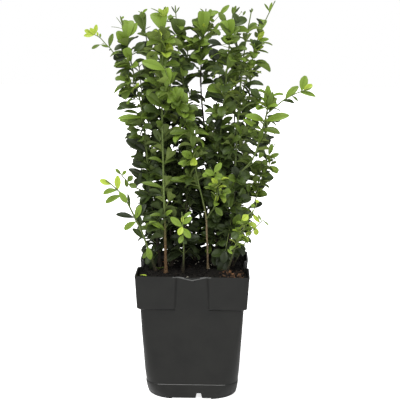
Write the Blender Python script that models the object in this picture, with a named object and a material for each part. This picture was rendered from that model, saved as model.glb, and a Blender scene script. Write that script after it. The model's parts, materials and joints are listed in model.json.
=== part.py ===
"""Young boxwood in a square black nursery pot, one solid for each sub-part.

Metres, +Z up. The origin is the middle of the pot's foot, at table height. +X is to the
right and +Y goes away from the viewer, so the front face of the pot looks along -Y.
"""

import collections
import math
import random

import bmesh
import bpy
import numpy as np
from mathutils import Vector
from mathutils.bvhtree import BVHTree

# Pot
POT_HEIGHT = 0.1735
WALL = 0.0016
FLAT_HALF = 0.0688  # half the straight part of a collar side
PANEL_HALF = 0.0188  # half the flat panel that breaks the collar
PANEL_STEP = 0.0020  # run of the slope from the panel out to the collar
DIP_HALF = 0.0247  # half the width of the dip in the rim
DIP_DEPTH = 0.0055
CORNER_STEPS = 4
COLLAR_BOTTOM = 0.1262
PANEL_AT_BOTTOM = 0.0686  # half width across the panels, under the collar
PANEL_AT_TOP = 0.0708  # the same, at the rim

# height, half width, corner radius, all on the outside
BODY_ROWS = (
    (0.0000, 0.0608, 0.0394),
    (0.0124, 0.0618, 0.0260),
    (0.0204, 0.0628, 0.0235),
    (0.0214, 0.0623, 0.0232),
    (0.0368, 0.0638, 0.0200),
    (0.0919, 0.0669, 0.0100),
    (COLLAR_BOTTOM, 0.0686, 0.0060),
)
COLLAR_ROWS = (
    (0.1282, 0.0718, 0.0046),
    (0.1296, 0.0728, 0.0040),
    (0.1718, 0.0752, 0.0032),
)
RIM_HALF = 0.0746
RIM_CORNER = 0.0030
RIM_ROUND = 0.0004  # the outer edge of the rim is set in this much more at the top
PANEL_KEEP = 0.7  # inside, a panel is wider by this share of the wall
LEDGE_RISE = 0.0018  # the collar's underside is this much higher inside than outside
FLOOR_CORNER = 0.0354  # corner radius at the floor, before the wall is taken off
BODY_INSET = 0.0003  # extra wall behind the body's outside ledge
LEAST_CORNER = 0.0012
ROUNDING = 1e-6

# Foot
FOOT_PLATE = 0.0020
CHANNEL_HALF = 0.0280
CHANNEL_HEIGHT = 0.0090
EDGE_LIFT = 0.0018
NOTCH_HEIGHT = 0.0087
NOTCH_BOTTOM = 0.0050
NOTCH_TOP = 0.0028
NOTCH_OFFSET = 0.0098  # the notch sits right of the middle of each side
NOTCH_IN = 0.055
NOTCH_OUT = 0.066
EDGE_INSET = 0.0015
CUT_MARGIN = 0.001
PAST_WALL = 0.080
HOLE_RADIUS = 0.0038
HOLE_OFFSET = 0.0400

# Soil
GAP = 0.0003
SOIL_LIFT = 0.0005  # room left under the soil
SOIL_EDGE = 0.1655
SOIL_MIDDLE = 0.1680
SOIL_ROUGH = 0.0008
SOIL_RINGS = (1.0, 0.86, 0.60, 0.32)  # rings of the soil's top, as shares of its edge

# Stems and boughs
TUBE_SIDES = 7
FLARE_HEIGHT = 0.0060
FLARE_GAIN = 0.9
FLARE_STOPS = (0.003, 0.009)
PATH_STEPS = 6
SAME_HEIGHT = 0.0001  # points of a path nearer than this to a cut are left out
TURN_LOOK = 0.004  # how far to either side a path's direction is measured
STEM_SPACING = 0.020
BOUGH_SPACING = 0.012

# Foliage
LEVEL = 0.0168  # height between the rings of a mass
RING_SIDES = 11
SPLIT_GAP = 0.0016
LOBE_SIZE = 0.19  # leaf pairs stand crosswise, so each tier is longer one way
LUMP_SIZE = 0.16
TIER_SIZE = 0.16
START_SHARE = 0.62  # share of the full reach at the bottom of a mass
FILL_RATE = 2.4
NARROW_FROM = 0.62  # share of a mass's height where it starts to draw in
NARROW_BY = 0.58
NARROW_POWER = 1.6
MOST_REACH = 1.28  # no lump goes further out than this share of the reach
LEAST_REACH = 0.0015
END_ROOM = 0.004  # height kept between a mass's end point and its nearest ring
BARE_REACH = 0.0045
FORK_CLEAR = 0.006
SPRAY_SIDES = 10
SPRAY_STEP = 0.0095
SPRAY_ARC = (0.16, 0.78)  # part of a half sine that rounds a spray off, start and length
SPRAY_ROUND = 0.7
LEAST_FACING = 0.05  # a neighbour more to the side than this doesn't cut a mass back
SPRAY_SPREAD = 1.5  # a sloping spray reaches this much further out on the level

# The tables below are in millimetres. A path runs from the foot to the tip; the first
# point of one that stands in the soil has no height, because the soil gives it. Then the
# radius at the foot and at the tip, the heights between which it has leaves, and how far
# the leaves reach out.
MM = 0.001
Limb = collections.namedtuple("Limb", "path foot tip leaves reach")
Spray = collections.namedtuple("Spray", "path foot tip leafy_path reach")

UPRIGHT = {
    "front_left": Limb(
        [(-36, -35), (-38, -40, 245), (-40, -45, 336), (-41, -50, 427), (-38, -50, 519)],
        2.0, 0.8, [(206, 519)], 24,
    ),
    "left": Limb(
        [(-46, 0), (-53, 0, 234), (-61, -5, 290), (-68, -10, 372), (-80, -12, 430), (-97, -15, 507)],
        2.2, 0.8, [(182, 507)], 24,
    ),
    "left_inner": Limb(
        [(-30, 6), (-34, 8, 250), (-42, 10, 350), (-56, 10, 430), (-72, 8, 514)],
        1.8, 0.7, [(184, 514)], 22,
    ),
    "middle": Limb(
        [(-14, -16), (-10, -6, 264), (-10, 4, 331), (-13, 6, 398), (-22, 8, 460), (-27, 10, 522)],
        1.8, 0.7, [(186, 522)], 22,
    ),
    "front_middle": Limb(
        [(20, -6), (18, -18, 217), (16, -27, 250), (4, -42, 305), (-5, -55, 364), (-24, -64, 408)]
        + [(-37, -72, 446)],
        2.1, 0.8, [(281, 446)], 20,
    ),
    "right": Limb(
        [(45, -4), (52, -12, 245), (56, -19, 334), (59, -20, 400), (59, -20, 408)],
        2.3, 1.4, [(184, 408)], 26,
    ),
    "right_inner": Limb(
        [(30, 8), (33, 4, 260), (35, -8, 350), (41, -22, 420), (46, -34, 484), (50, -36, 519)],
        1.9, 0.8, [(188, 519)], 23,
    ),
    "slender": Limb(
        [(25, 28), (21, 35, 256), (16, 34, 330), (11, 26, 372), (8, 18, 410), (8, 8, 445), (14, 0, 518)],
        1.9, 0.8, [(186, 358), (402, 518)], 23,
    ),
    "back_left": Limb(
        [(-28, 36), (-38, 44, 290), (-45, 50, 400), (-52, 54, 478)],
        2.0, 0.8, [(180, 478)], 26,
    ),
    "back_middle": Limb(
        [(0, 44), (-5, 54, 290), (-12, 60, 400), (-12, 62, 468)],
        1.8, 0.8, [(181, 468)], 24,
    ),
    "back_right": Limb(
        [(40, 36), (50, 46, 290), (55, 54, 400), (56, 58, 481)],
        2.0, 0.8, [(180, 481)], 26,
    ),
    "left_rear": Limb(
        [(-50, 26), (-66, 32, 290), (-72, 38, 380), (-78, 42, 440)],
        1.7, 0.8, [(184, 440)], 20,
    ),
    "right_rear": Limb(
        [(52, 18), (64, 24, 270), (70, 28, 360), (76, 30, 441)],
        1.8, 0.8, [(182, 441)], 21.5,
    ),
    "low_front": Limb(
        [(-13, -34), (-12, -50, 211), (-13, -60, 236), (-14, -66, 258)],
        1.3, 0.7, [(203, 258)], 16,
    ),
    "low_right_front": Limb(
        [(46, -26), (57, -38, 208), (66, -47, 228), (76, -56, 252), (83, -60, 268)],
        1.4, 0.7, [(196, 268)], 15,
    ),
}

# Boughs that rise from an upright, each starting where it comes clear of its parent.
RISING = {
    "front_fork": Limb(
        [(22.5, -29, 250), (27, -40, 258.5), (31, -52, 273), (33, -61, 291), (29, -67, 306)]
        + [(22, -70, 318)],
        1.3, 0.7, [(262, 318)], 16.5,
    ),
    "right_middle": Limb(
        [(59.8, -19, 413), (66, -16, 472), (74, -10, 519)],
        1.4, 0.8, [(430, 519)], 16,
    ),
    "right_outer": Limb(
        [(64, -11, 412), (74, 0, 444), (83, 7, 479), (93, 10, 504), (105, 10, 529)],
        1.3, 0.6, [(422, 529)], 18.5,
    ),
    "right_spray_base": Limb(
        [(78, -29, 324), (88, -37, 358), (95, -42, 388), (98, -44, 418)],
        1.5, 1.2, [(326, 418)], 18,
    ),
    "right_low_spray": Limb(
        [(82, 12, 256), (88, 15, 285), (98, 20, 314), (110, 24, 338)],
        1.2, 0.6, [(258, 338)], 16.5,
    ),
}

# Sprays that stand clear of the crown. The bare limb comes first, then the leafy end.
SPRAYS = {
    "upper_left_spray": Spray(
        [(-105.5, -11.8, 458.5), (-108.2, -10.9, 461.8), (-110.7, -10, 465)],
        0.9, 0.7,
        [(-111.2, -9.7, 465.5), (-118, -4, 471), (-127, 4, 479.5), (-137, 12, 484), (-151.5, 22, 489)],
        8.8,
    ),
    "small_left_spray": Spray(
        [(-85, -25, 286), (-88.5, -30, 292)],
        0.8, 0.6, [(-88.8, -30.5, 292.6), (-94, -37, 300), (-99, -41, 307)], 6.2,
    ),
    "right_spray": Spray(
        [(112, -51.5, 400.5), (115.8, -54, 404), (119, -57, 406.3)],
        1.0, 0.8,
        [(119.5, -57.5, 406.8), (131, -67, 413.5), (141, -74, 418), (151.5, -80, 422)],
        11.5,
    ),
    "low_left": Spray(
        [(-50, -22), (-69, -36, 226), (-74.5, -41.5, 238.5)],
        1.4, 1.0,
        [(-74.8, -41.8, 239.2), (-81, -47, 255), (-91, -52, 275), (-105, -58, 291), (-122, -62, 303)],
        12,
    ),
    "low_right": Spray(
        [(53, 6), (68, -1, 199), (76.5, -10.5, 217.5)],
        1.2, 0.9, [(76.8, -10.8, 218.2), (84, -18, 229), (92, -25, 239), (101, -31, 247)], 11,
    ),
}


def clear_scene():
    for old in list(bpy.data.objects):
        bpy.data.objects.remove(old, do_unlink=True)


def plain_material(name, color, roughness):
    material = bpy.data.materials.new(name)
    material.use_nodes = True
    shader = material.node_tree.nodes["Principled BSDF"]
    shader.inputs["Base Color"].default_value = (*color, 1.0)
    shader.inputs["Roughness"].default_value = roughness
    return material


def place(name, points, faces, material, smooth):
    """Put a mesh in the scene as one named object."""
    mesh = bpy.data.meshes.new(name)
    mesh.from_pydata([tuple(p) for p in points], [], faces)
    mesh.validate()
    mesh.polygons.foreach_set("use_smooth", [smooth] * len(mesh.polygons))
    made = bpy.data.objects.new(name, mesh)
    bpy.context.scene.collection.objects.link(made)
    if material is not None:
        made.data.materials.append(material)
    return made


def halves(points, quad):
    """Two triangles for a quad that may be twisted, split along its shorter diagonal."""
    a, b, c, d = quad
    if math.dist(points[a], points[c]) <= math.dist(points[b], points[d]):
        return [(a, b, c), (a, c, d)]
    return [(a, b, d), (b, c, d)]


def loft(rings, low_end, high_end):
    """Skin a stack of equal rings; an end is a point to close onto, or None for flat."""
    count = len(rings[0])
    points = [p for ring in rings for p in ring]
    faces = []
    for row in range(len(rings) - 1):
        base = row * count
        for i in range(count):
            j = (i + 1) % count
            quad = (base + i, base + j, base + count + j, base + count + i)
            faces += halves(points, quad)
    last = (len(rings) - 1) * count
    if low_end is None:
        faces.append(tuple(reversed(range(count))))
    else:
        points.append(low_end)
        faces += [(len(points) - 1, (i + 1) % count, i) for i in range(count)]
    if high_end is None:
        faces.append(tuple(last + i for i in range(count)))
    else:
        points.append(high_end)
        faces += [(len(points) - 1, last + i, last + (i + 1) % count) for i in range(count)]
    return points, faces


def panel_half_width(height):
    """Half width across the panels, which carry the body's taper on up to the rim."""
    rise = (height - COLLAR_BOTTOM) / (POT_HEIGHT - COLLAR_BOTTOM)
    return PANEL_AT_BOTTOM + rise * (PANEL_AT_TOP - PANEL_AT_BOTTOM)


def pot_ring(height, half, corner, inward=0.0, collar=False, dip=0.0):
    """One level outline of the pot, set in from the outside by a wall thickness."""
    outer = half - inward
    radius = max(corner - inward, LEAST_CORNER)
    flat = outer - radius
    panel = PANEL_HALF + PANEL_KEEP * inward
    marks = [DIP_HALF, panel + PANEL_STEP, panel]
    if not collar:
        marks = [m * flat / FLAT_HALF for m in marks]
    along = [-flat] + [-m for m in marks] + [0.0] + marks[::-1] + [flat]
    inset = panel_half_width(height) - inward
    ring = []
    for side in range(4):
        turn = side * math.pi / 2
        normal = Vector((math.cos(turn), math.sin(turn)))
        across = Vector((-normal.y, normal.x))
        for s in along:
            out = inset if collar and abs(s) <= panel + ROUNDING else outer
            drop = dip * max(0.0, 1.0 - abs(s) / DIP_HALF)
            p = normal * out + across * s
            ring.append((p.x, p.y, height - drop))
        centre = (normal + across) * flat
        for step in range(1, CORNER_STEPS):
            angle = turn + step / CORNER_STEPS * math.pi / 2
            p = centre + Vector((math.cos(angle), math.sin(angle))) * radius
            ring.append((p.x, p.y, height))
    return ring


def inner_rings(inward, lift):
    """The inside of the pot from the floor up, or the soil's side when set in further."""
    rings = [pot_ring(FOOT_PLATE + lift, BODY_ROWS[0][1], FLOOR_CORNER, inward)]
    for height, half, corner in BODY_ROWS[1:-1]:
        rings.append(pot_ring(height, half - BODY_INSET, corner, inward))
    height, half, corner = BODY_ROWS[-1]
    rings.append(pot_ring(height + LEDGE_RISE + lift, half, corner, inward, True))
    height, half, corner = COLLAR_ROWS[1]
    rings.append(pot_ring(height + LEDGE_RISE + 2 * lift, half, corner, inward, True))
    return rings


def cross_prism(name, arm, reach, low, high):
    """A hidden plus-shaped block, used to cut or to raise the foot."""
    corners = []
    for side in range(4):
        turn = side * math.pi / 2
        normal = Vector((math.cos(turn), math.sin(turn)))
        across = Vector((-normal.y, normal.x))
        low_side, high_side = normal * reach - across * arm, normal * reach + across * arm
        corners += [(p.x, p.y) for p in (low_side, high_side, (normal + across) * arm)]
    rings = [[(x, y, low) for x, y in corners], [(x, y, high) for x, y in corners]]
    return hide(place(name, *loft(rings, None, None), None, False))


def hide(cutter):
    cutter.hide_render = True
    cutter.display_type = "WIRE"
    return cutter


def combine(made, other, operation):
    step = made.modifiers.new(other.name, "BOOLEAN")
    step.operation = operation
    step.solver = "EXACT"
    step.object = other


def notch_cutters():
    """Four wedges that cut the drain notch in the middle of each side's foot."""
    points = []
    faces = []
    for side in range(4):
        turn = side * math.pi / 2
        normal = Vector((math.cos(turn), math.sin(turn), 0.0))
        across = Vector((-normal.y, normal.x, 0.0))
        bottom = [(-NOTCH_BOTTOM, -CUT_MARGIN), (NOTCH_BOTTOM, -CUT_MARGIN)]
        profile = bottom + [(NOTCH_TOP, NOTCH_HEIGHT), (-NOTCH_TOP, NOTCH_HEIGHT)]
        rings = []
        for out in (NOTCH_IN, NOTCH_OUT):
            middle = normal * out + across * NOTCH_OFFSET
            rings.append([middle + across * s + Vector((0, 0, z)) for s, z in profile])
        more_points, more_faces = loft(rings, None, None)
        faces += [tuple(i + len(points) for i in face) for face in more_faces]
        points += more_points
    return hide(place("notch_cutter", points, faces, None, False))


def hole_cutters():
    """Five round drain holes through the raised part of the floor."""
    points = []
    faces = []
    spots = ((0, 0), (HOLE_OFFSET, 0), (-HOLE_OFFSET, 0), (0, HOLE_OFFSET), (0, -HOLE_OFFSET))
    for x, y in spots:
        turns = [i * math.pi / 6 for i in range(12)]
        circle = [(x + HOLE_RADIUS * math.cos(t), y + HOLE_RADIUS * math.sin(t)) for t in turns]
        ends = (CHANNEL_HEIGHT - CUT_MARGIN, CHANNEL_HEIGHT + FOOT_PLATE + CUT_MARGIN)
        rings = [[(px, py, z) for px, py in circle] for z in ends]
        more_points, more_faces = loft(rings, None, None)
        faces += [tuple(i + len(points) for i in face) for face in more_faces]
        points += more_points
    return hide(place("hole_cutter", points, faces, None, False))


def make_pot():
    """Thin moulded pot: tapered body, collar broken by flat panels, feet, drain holes."""
    outside = [pot_ring(*row) for row in BODY_ROWS[:-1]]
    outside.append(pot_ring(*BODY_ROWS[-1], collar=True))
    outside += [pot_ring(*row, collar=True) for row in COLLAR_ROWS[:-1]]
    outside.append(pot_ring(*COLLAR_ROWS[-1], collar=True, dip=DIP_DEPTH))
    outside.append(pot_ring(POT_HEIGHT, RIM_HALF, RIM_CORNER, RIM_ROUND, True, DIP_DEPTH))
    inside = inner_rings(WALL, 0.0)
    inside.append(pot_ring(POT_HEIGHT, RIM_HALF, RIM_CORNER, WALL, True))
    material = plain_material("charcoal_plastic", (0.030, 0.031, 0.030), 0.45)
    pot = place("pot", *loft(outside + inside[::-1], None, None), material, False)
    foot = BODY_ROWS[0][1]
    floor = CHANNEL_HEIGHT + FOOT_PLATE
    riser = cross_prism("floor_riser", CHANNEL_HALF + WALL, foot - WALL / 2, FOOT_PLATE / 2, floor)
    combine(pot, riser, "UNION")
    channel = cross_prism("channel_cutter", CHANNEL_HALF, foot - WALL, -CUT_MARGIN, CHANNEL_HEIGHT)
    combine(pot, channel, "DIFFERENCE")
    edge = cross_prism("edge_cutter", CHANNEL_HALF - EDGE_INSET, PAST_WALL, -2 * CUT_MARGIN, EDGE_LIFT)
    combine(pot, edge, "DIFFERENCE")
    combine(pot, notch_cutters(), "DIFFERENCE")
    combine(pot, hole_cutters(), "DIFFERENCE")


def soil_height(x, y):
    """A low mound with gentle lumps, a little lower along the walls."""
    edge = max(abs(x), abs(y)) / RIM_HALF
    mound = SOIL_MIDDLE + (SOIL_EDGE - SOIL_MIDDLE) * edge**4
    lumps = math.sin(91 * x + 1.3) * math.cos(83 * y - 0.4) + 0.6 * math.sin(170 * x - 140 * y)
    return mound + SOIL_ROUGH * lumps


def make_soil():
    """The potting compost, filling the pot to just under the rim."""
    inward = WALL + GAP
    rings = inner_rings(inward, SOIL_LIFT)
    low, low_half, low_corner = COLLAR_ROWS[1]
    rise = (SOIL_EDGE - low - LEDGE_RISE) / (POT_HEIGHT - low - LEDGE_RISE)
    half = low_half + rise * (RIM_HALF - low_half)
    corner = low_corner + rise * (RIM_CORNER - low_corner)
    edge = pot_ring(SOIL_EDGE, half, corner, inward, True)
    for share in SOIL_RINGS:
        top = [(x * share, y * share) for x, y, _ in edge]
        rings.append([(x, y, soil_height(x, y)) for x, y in top])
    material = plain_material("soil_brown", (0.030, 0.020, 0.013), 0.95)
    soil = place("soil", *loft(rings, None, (0.0, 0.0, soil_height(0.0, 0.0))), material, False)
    arm = CHANNEL_HALF + WALL + GAP
    floor = CHANNEL_HEIGHT + FOOT_PLATE + GAP
    combine(soil, cross_prism("soil_cutter", arm, PAST_WALL, -CUT_MARGIN, floor), "DIFFERENCE")
    return soil


def smooth_path(points):
    """A curve through points given in millimetres, rounding each bend, in metres."""
    knots = [Vector(p) * MM for p in points]
    knots = [knots[0] * 2 - knots[1]] + knots + [knots[-1] * 2 - knots[-2]]
    curve = []
    for i in range(1, len(knots) - 2):
        a, b, c, d = knots[i - 1 : i + 3]
        for step in range(PATH_STEPS):
            t = step / PATH_STEPS
            cubic = 3 * b - a - 3 * c + d
            square = 2 * a - 5 * b + 4 * c - d
            curve.append(0.5 * (2 * b + (c - a) * t + square * t**2 + cubic * t**3))
    curve.append(knots[-2])
    return np.array([tuple(p) for p in curve])


def from_soil(tree, limb):
    """The path of a limb that stands in the soil, from a flat foot just above it."""
    x, y = [v * MM for v in limb.path[0]]
    reach = limb.foot * MM * (1 + FLARE_GAIN)
    spots = [(x, y)]
    for i in range(8):
        angle = i * math.pi / 4
        spots.append((x + reach * math.cos(angle), y + reach * math.sin(angle)))
    down = Vector((0, 0, -1))
    ground = max(tree.ray_cast(Vector((px, py, POT_HEIGHT)), down)[0].z for px, py in spots)
    return smooth_path([(*limb.path[0], (ground + GAP) / MM), *limb.path[1:]])


def at_height(path, height):
    """Where a rising path stands at one height."""
    return np.array([np.interp(height, path[:, 2], path[:, k]) for k in (0, 1)])


def between(path, low, high):
    """The part of a rising path between two heights."""
    inside = [p for p in path if low + SAME_HEIGHT < p[2] < high - SAME_HEIGHT]
    ends = [np.array([*at_height(path, z), z]) for z in (low, high)]
    return np.array([ends[0], *inside, ends[1]])


def along_path(path, stop, look):
    """The point a distance along a path, and the direction there."""
    steps = np.concatenate([[0.0], np.cumsum(np.linalg.norm(np.diff(path, axis=0), axis=1))])
    here, ahead, behind = (
        Vector([np.interp(min(max(s, 0.0), steps[-1]), steps, path[:, k]) for k in range(3)])
        for s in (stop, stop + look, stop - look)
    )
    return here, (ahead - behind).normalized()


def path_length(path):
    return float(np.linalg.norm(np.diff(path, axis=0), axis=1).sum())


def cross_ring(centre, along, radii):
    """Points round a centre, square to a direction, each at its own radius."""
    first = (Vector((1, 0, 0)) - along * along.x).normalized()
    second = along.cross(first)
    ring = []
    for i, radius in enumerate(radii):
        angle = i * 2 * math.pi / len(radii)
        ring.append(centre + (first * math.cos(angle) + second * math.sin(angle)) * radius)
    return ring


def tube(name, path, foot, end, material, flare, spacing):
    """A tapering limb along a path, cut flat at both ends."""
    length = path_length(path)
    stops = [0.0, *(FLARE_STOPS if flare else ())]
    start = stops[-1]
    pieces = max(2, math.ceil((length - start) / spacing))
    stops += [start + (length - start) * i / pieces for i in range(1, pieces + 1)]
    rings = []
    for stop in stops:
        centre, along = along_path(path, stop, TURN_LOOK)
        radius = foot + (end - foot) * stop / length
        if flare:
            radius *= 1.0 + FLARE_GAIN * math.exp(-stop / FLARE_HEIGHT)
            if stop == 0.0:
                along = Vector((0, 0, 1))
        rings.append(cross_ring(centre, along, [radius] * TUBE_SIDES))
    return place(name, *loft(rings, None, None), material, True)


def outline(low, high, height):
    """Share of the full reach: filling out above the bottom, drawn in towards the tip."""
    t = min(max((height - low) / (high - low), 0.0), 1.0)
    swell = min(1.0, START_SHARE + FILL_RATE * t)
    narrow = 1.0 - NARROW_BY * max(0.0, (t - NARROW_FROM) / (1 - NARROW_FROM)) ** NARROW_POWER
    return swell * narrow


class Shoot:
    """A limb and the leaves on it. A solid one is a spray, which is never cut back."""

    def __init__(self, path, leaves=(), reach=0.0, solid=0.0):
        self.path = path
        self.leaves = leaves
        self.full_reach = reach
        self.solid = solid

    def spans(self, height):
        margin = LEVEL if self.solid else 0.0
        return self.path[0, 2] - margin <= height <= self.path[-1, 2] + margin

    def reach(self, height):
        for low, high in self.leaves:
            if low - LEVEL / 2 <= height <= high + LEVEL / 2:
                return max(BARE_REACH, self.full_reach * outline(low, high, height))
        return BARE_REACH

    def room(self, other, height, ray):
        """How far this shoot's leaves may go along a ray before they meet the other's."""
        apart = at_height(other.path, height) - at_height(self.path, height)
        distance = np.linalg.norm(apart)
        facing = ray @ apart / distance
        if distance < FORK_CLEAR or facing <= LEAST_FACING:
            return math.inf
        if other.solid:
            free = distance - other.solid
        else:
            free = distance * self.reach(height) / (self.reach(height) + other.reach(height))
        return (free - SPLIT_GAP / 2) / facing


def column(name, shoot, low, high, shoots, rng, material):
    """Leaves round an upright: level rings, each cut half way to the neighbours."""
    levels = [LEVEL * k for k in range(1, 60) if low + END_ROOM < LEVEL * k < high - END_ROOM]
    twist = rng.uniform(0, math.pi)
    rings = []
    for tier, height in enumerate(levels):
        centre = at_height(shoot.path, height)
        near = [other for other in shoots if other is not shoot and other.spans(height)]
        full = shoot.full_reach * outline(low, high, height)
        tier_size = rng.uniform(1 - TIER_SIZE, 1 + TIER_SIZE)
        ring = []
        for i in range(RING_SIDES):
            angle = i * 2 * math.pi / RING_SIDES
            ray = np.array([math.cos(angle), math.sin(angle)])
            lobe = 1.0 + LOBE_SIZE * math.cos(2 * (angle - twist) + tier * math.pi)
            lump = 1.0 + rng.uniform(-LUMP_SIZE, LUMP_SIZE)
            radius = full * min(MOST_REACH, tier_size * lobe * lump)
            radius = min([radius] + [shoot.room(other, height, ray) for other in near])
            point = centre + ray * max(radius, LEAST_REACH)
            ring.append((point[0], point[1], height))
        rings.append(ring)
    ends = [(*at_height(shoot.path, z), z) for z in (low, high)]
    return place(name, *loft(rings, *ends), material, False)


def spray(name, path, reach, rng, material):
    """Leaves at the end of a side limb: uneven rings along the limb, rounded off."""
    length = path_length(path)
    count = max(3, round(length / SPRAY_STEP))
    rings = []
    for tier in range(count):
        t = (tier + 0.5) / count
        centre, along = along_path(path, t * length, TURN_LOOK)
        full = reach * math.sin(math.pi * (SPRAY_ARC[0] + SPRAY_ARC[1] * t)) ** SPRAY_ROUND
        radii = []
        for k in range(SPRAY_SIDES):
            lobe = LOBE_SIZE * math.cos(4 * math.pi * k / SPRAY_SIDES + tier * math.pi)
            radii.append(full * (1.0 + lobe + rng.uniform(-LUMP_SIZE, LUMP_SIZE)))
        rings.append(cross_ring(centre, along, radii))
    return place(name, *loft(rings, tuple(path[0]), tuple(path[-1])), material, False)


def make_plant(soil):
    """Every stem, bough and mass of leaves, each as its own object."""
    soil_mesh = bmesh.new()
    soil_mesh.from_mesh(soil.data)
    tree = BVHTree.FromBMesh(soil_mesh)
    soil_mesh.free()
    bark = plain_material("stem_brown", (0.115, 0.075, 0.038), 0.8)
    twig = plain_material("twig_green", (0.090, 0.120, 0.035), 0.65)
    deep = plain_material("foliage_deep", (0.035, 0.070, 0.018), 0.6)
    fresh = plain_material("foliage_fresh", (0.130, 0.230, 0.030), 0.55)

    shoots = {}
    sprays = {}
    for name, limb in (UPRIGHT | RISING).items():
        path = from_soil(tree, limb) if name in UPRIGHT else smooth_path(limb.path)
        leaves = [(low * MM, high * MM) for low, high in limb.leaves]
        shoots[name] = Shoot(path, leaves, limb.reach * MM)
    for name, limb in SPRAYS.items():
        in_soil = len(limb.path[0]) == 2
        shoots[name] = Shoot(from_soil(tree, limb) if in_soil else smooth_path(limb.path))
        leafy_path = smooth_path(limb.leafy_path)
        sprays[name] = Shoot(leafy_path, solid=SPRAY_SPREAD * limb.reach * MM)
        prefix = "stem_" if in_soil else "bough_"
        sizes = (limb.foot * MM, limb.tip * MM)
        tube(prefix + name, shoots[name].path, *sizes, twig, in_soil, BOUGH_SPACING)

    for name, limb in (UPRIGHT | RISING).items():
        path = shoots[name].path
        low, top = path[0, 2], shoots[name].leaves[0][0] - GAP
        foot = limb.foot * MM
        taper = (limb.tip * MM - foot) / (path[-1, 2] - low)
        bare = between(path, low, top)
        end = foot + taper * (top - low)
        if name in UPRIGHT:
            tube("stem_" + name, bare, foot, end, bark, True, STEM_SPACING)
        elif top - low > END_ROOM:
            tube("bough_" + name, bare, foot, end, twig, False, BOUGH_SPACING)
        if len(limb.leaves) > 1:
            ends = [shoots[name].leaves[0][1] + GAP, shoots[name].leaves[1][0] - GAP]
            sizes = [foot + taper * (z - low) for z in ends]
            tube("bough_" + name, between(path, *ends), *sizes, bark, False, BOUGH_SPACING)

    rng = random.Random(7)
    everything = [*shoots.values(), *sprays.values()]
    for name in UPRIGHT | RISING:
        tint = fresh if name in RISING or name.startswith("low") else deep
        leaves = shoots[name].leaves
        for part, (low, high) in enumerate(leaves):
            label = name if len(leaves) == 1 else name + ("_lower", "_upper")[part]
            column("foliage_" + label, shoots[name], low, high, everything, rng, tint)
    for name, limb in SPRAYS.items():
        spray("foliage_" + name, sprays[name].path, limb.reach * MM, rng, fresh)


clear_scene()
make_pot()
make_plant(make_soil())
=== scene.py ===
# %% [markdown]
# # A young boxwood in its nursery pot
# The plant is a clump of thin upright shoots that stand in compost, in a square black pot
# of thin moulded plastic. The solids of the frame give the pot, every stem and the room
# that each mass of leaves fills. Here the pot gets its rounded edges, the stems their bark,
# and each mass becomes twigs and leaves that grow by the plant's own rule: leaves stand in
# opposite pairs, and each pair is turned a quarter round from the pair below.

import collections
import json
import math

import bpy
import numpy as np
from mathutils import Matrix, Vector

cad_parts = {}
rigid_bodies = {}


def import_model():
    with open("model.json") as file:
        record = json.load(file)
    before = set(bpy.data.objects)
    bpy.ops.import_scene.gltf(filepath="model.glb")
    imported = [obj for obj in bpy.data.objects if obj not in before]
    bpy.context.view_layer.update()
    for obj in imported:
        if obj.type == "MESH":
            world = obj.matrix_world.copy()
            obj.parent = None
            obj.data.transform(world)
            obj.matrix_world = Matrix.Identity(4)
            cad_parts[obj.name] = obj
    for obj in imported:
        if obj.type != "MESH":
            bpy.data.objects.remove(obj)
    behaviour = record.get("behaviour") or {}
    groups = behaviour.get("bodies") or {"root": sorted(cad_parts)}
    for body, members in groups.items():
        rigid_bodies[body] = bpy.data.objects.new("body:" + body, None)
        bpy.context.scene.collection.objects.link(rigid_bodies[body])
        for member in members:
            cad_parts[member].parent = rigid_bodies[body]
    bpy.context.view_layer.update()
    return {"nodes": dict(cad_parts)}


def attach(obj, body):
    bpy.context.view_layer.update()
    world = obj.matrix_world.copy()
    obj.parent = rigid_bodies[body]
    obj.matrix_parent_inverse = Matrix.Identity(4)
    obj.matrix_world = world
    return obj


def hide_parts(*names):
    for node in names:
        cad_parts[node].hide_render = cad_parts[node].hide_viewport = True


for old in list(bpy.data.objects):
    bpy.data.objects.remove(old, do_unlink=True)
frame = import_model()
MM = 0.001

# %% [markdown]
# ## Camera
# The pot's rim is a square of known size, so its four corners in the picture settle where
# the eye is: a little above the plant's middle, 1.4 m away, looking down by ten degrees.
# A long lens keeps the pot's sides almost parallel.

# %% Camera
EYE = Vector((0.0376, -1.3441, 0.5085))
TURN = math.radians(-1.26)
PITCH = math.radians(10.38)
ROLL = math.radians(0.45)
LENS = 90.3


def make_camera():
    """A camera whose own axes are worked out from its turn, its pitch and its roll."""
    ahead = Vector((math.sin(TURN) * math.cos(PITCH), math.cos(TURN) * math.cos(PITCH), -math.sin(PITCH)))
    right = ahead.cross(Vector((0, 0, 1))).normalized()
    up = right.cross(ahead)
    tilted_right = right * math.cos(ROLL) + up * math.sin(ROLL)
    tilted_up = up * math.cos(ROLL) - right * math.sin(ROLL)
    data = bpy.data.cameras.new("camera")
    data.lens = LENS
    data.sensor_width = 36.0
    data.clip_start = 0.05
    camera = bpy.data.objects.new("camera", data)
    axes = Matrix((tilted_right, tilted_up, -ahead)).transposed()
    camera.matrix_world = Matrix.Translation(EYE) @ axes.to_4x4()
    bpy.context.scene.collection.objects.link(camera)
    bpy.context.scene.camera = camera
    return camera


camera = make_camera()
print("camera at", [round(v, 3) for v in camera.location])

# %% [markdown]
# ## Floor and light
# The picture has a plain white ground. A wide white floor under a very soft high light
# gives that. The floor also glows a little to the eye alone, as a lit table does, so that
# only a faint shadow is left at the pot's foot. The sky is white to the eye, but sends less
# light than it shows, so that the inside of the plant stays as dark as it is between real
# leaves.

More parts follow.
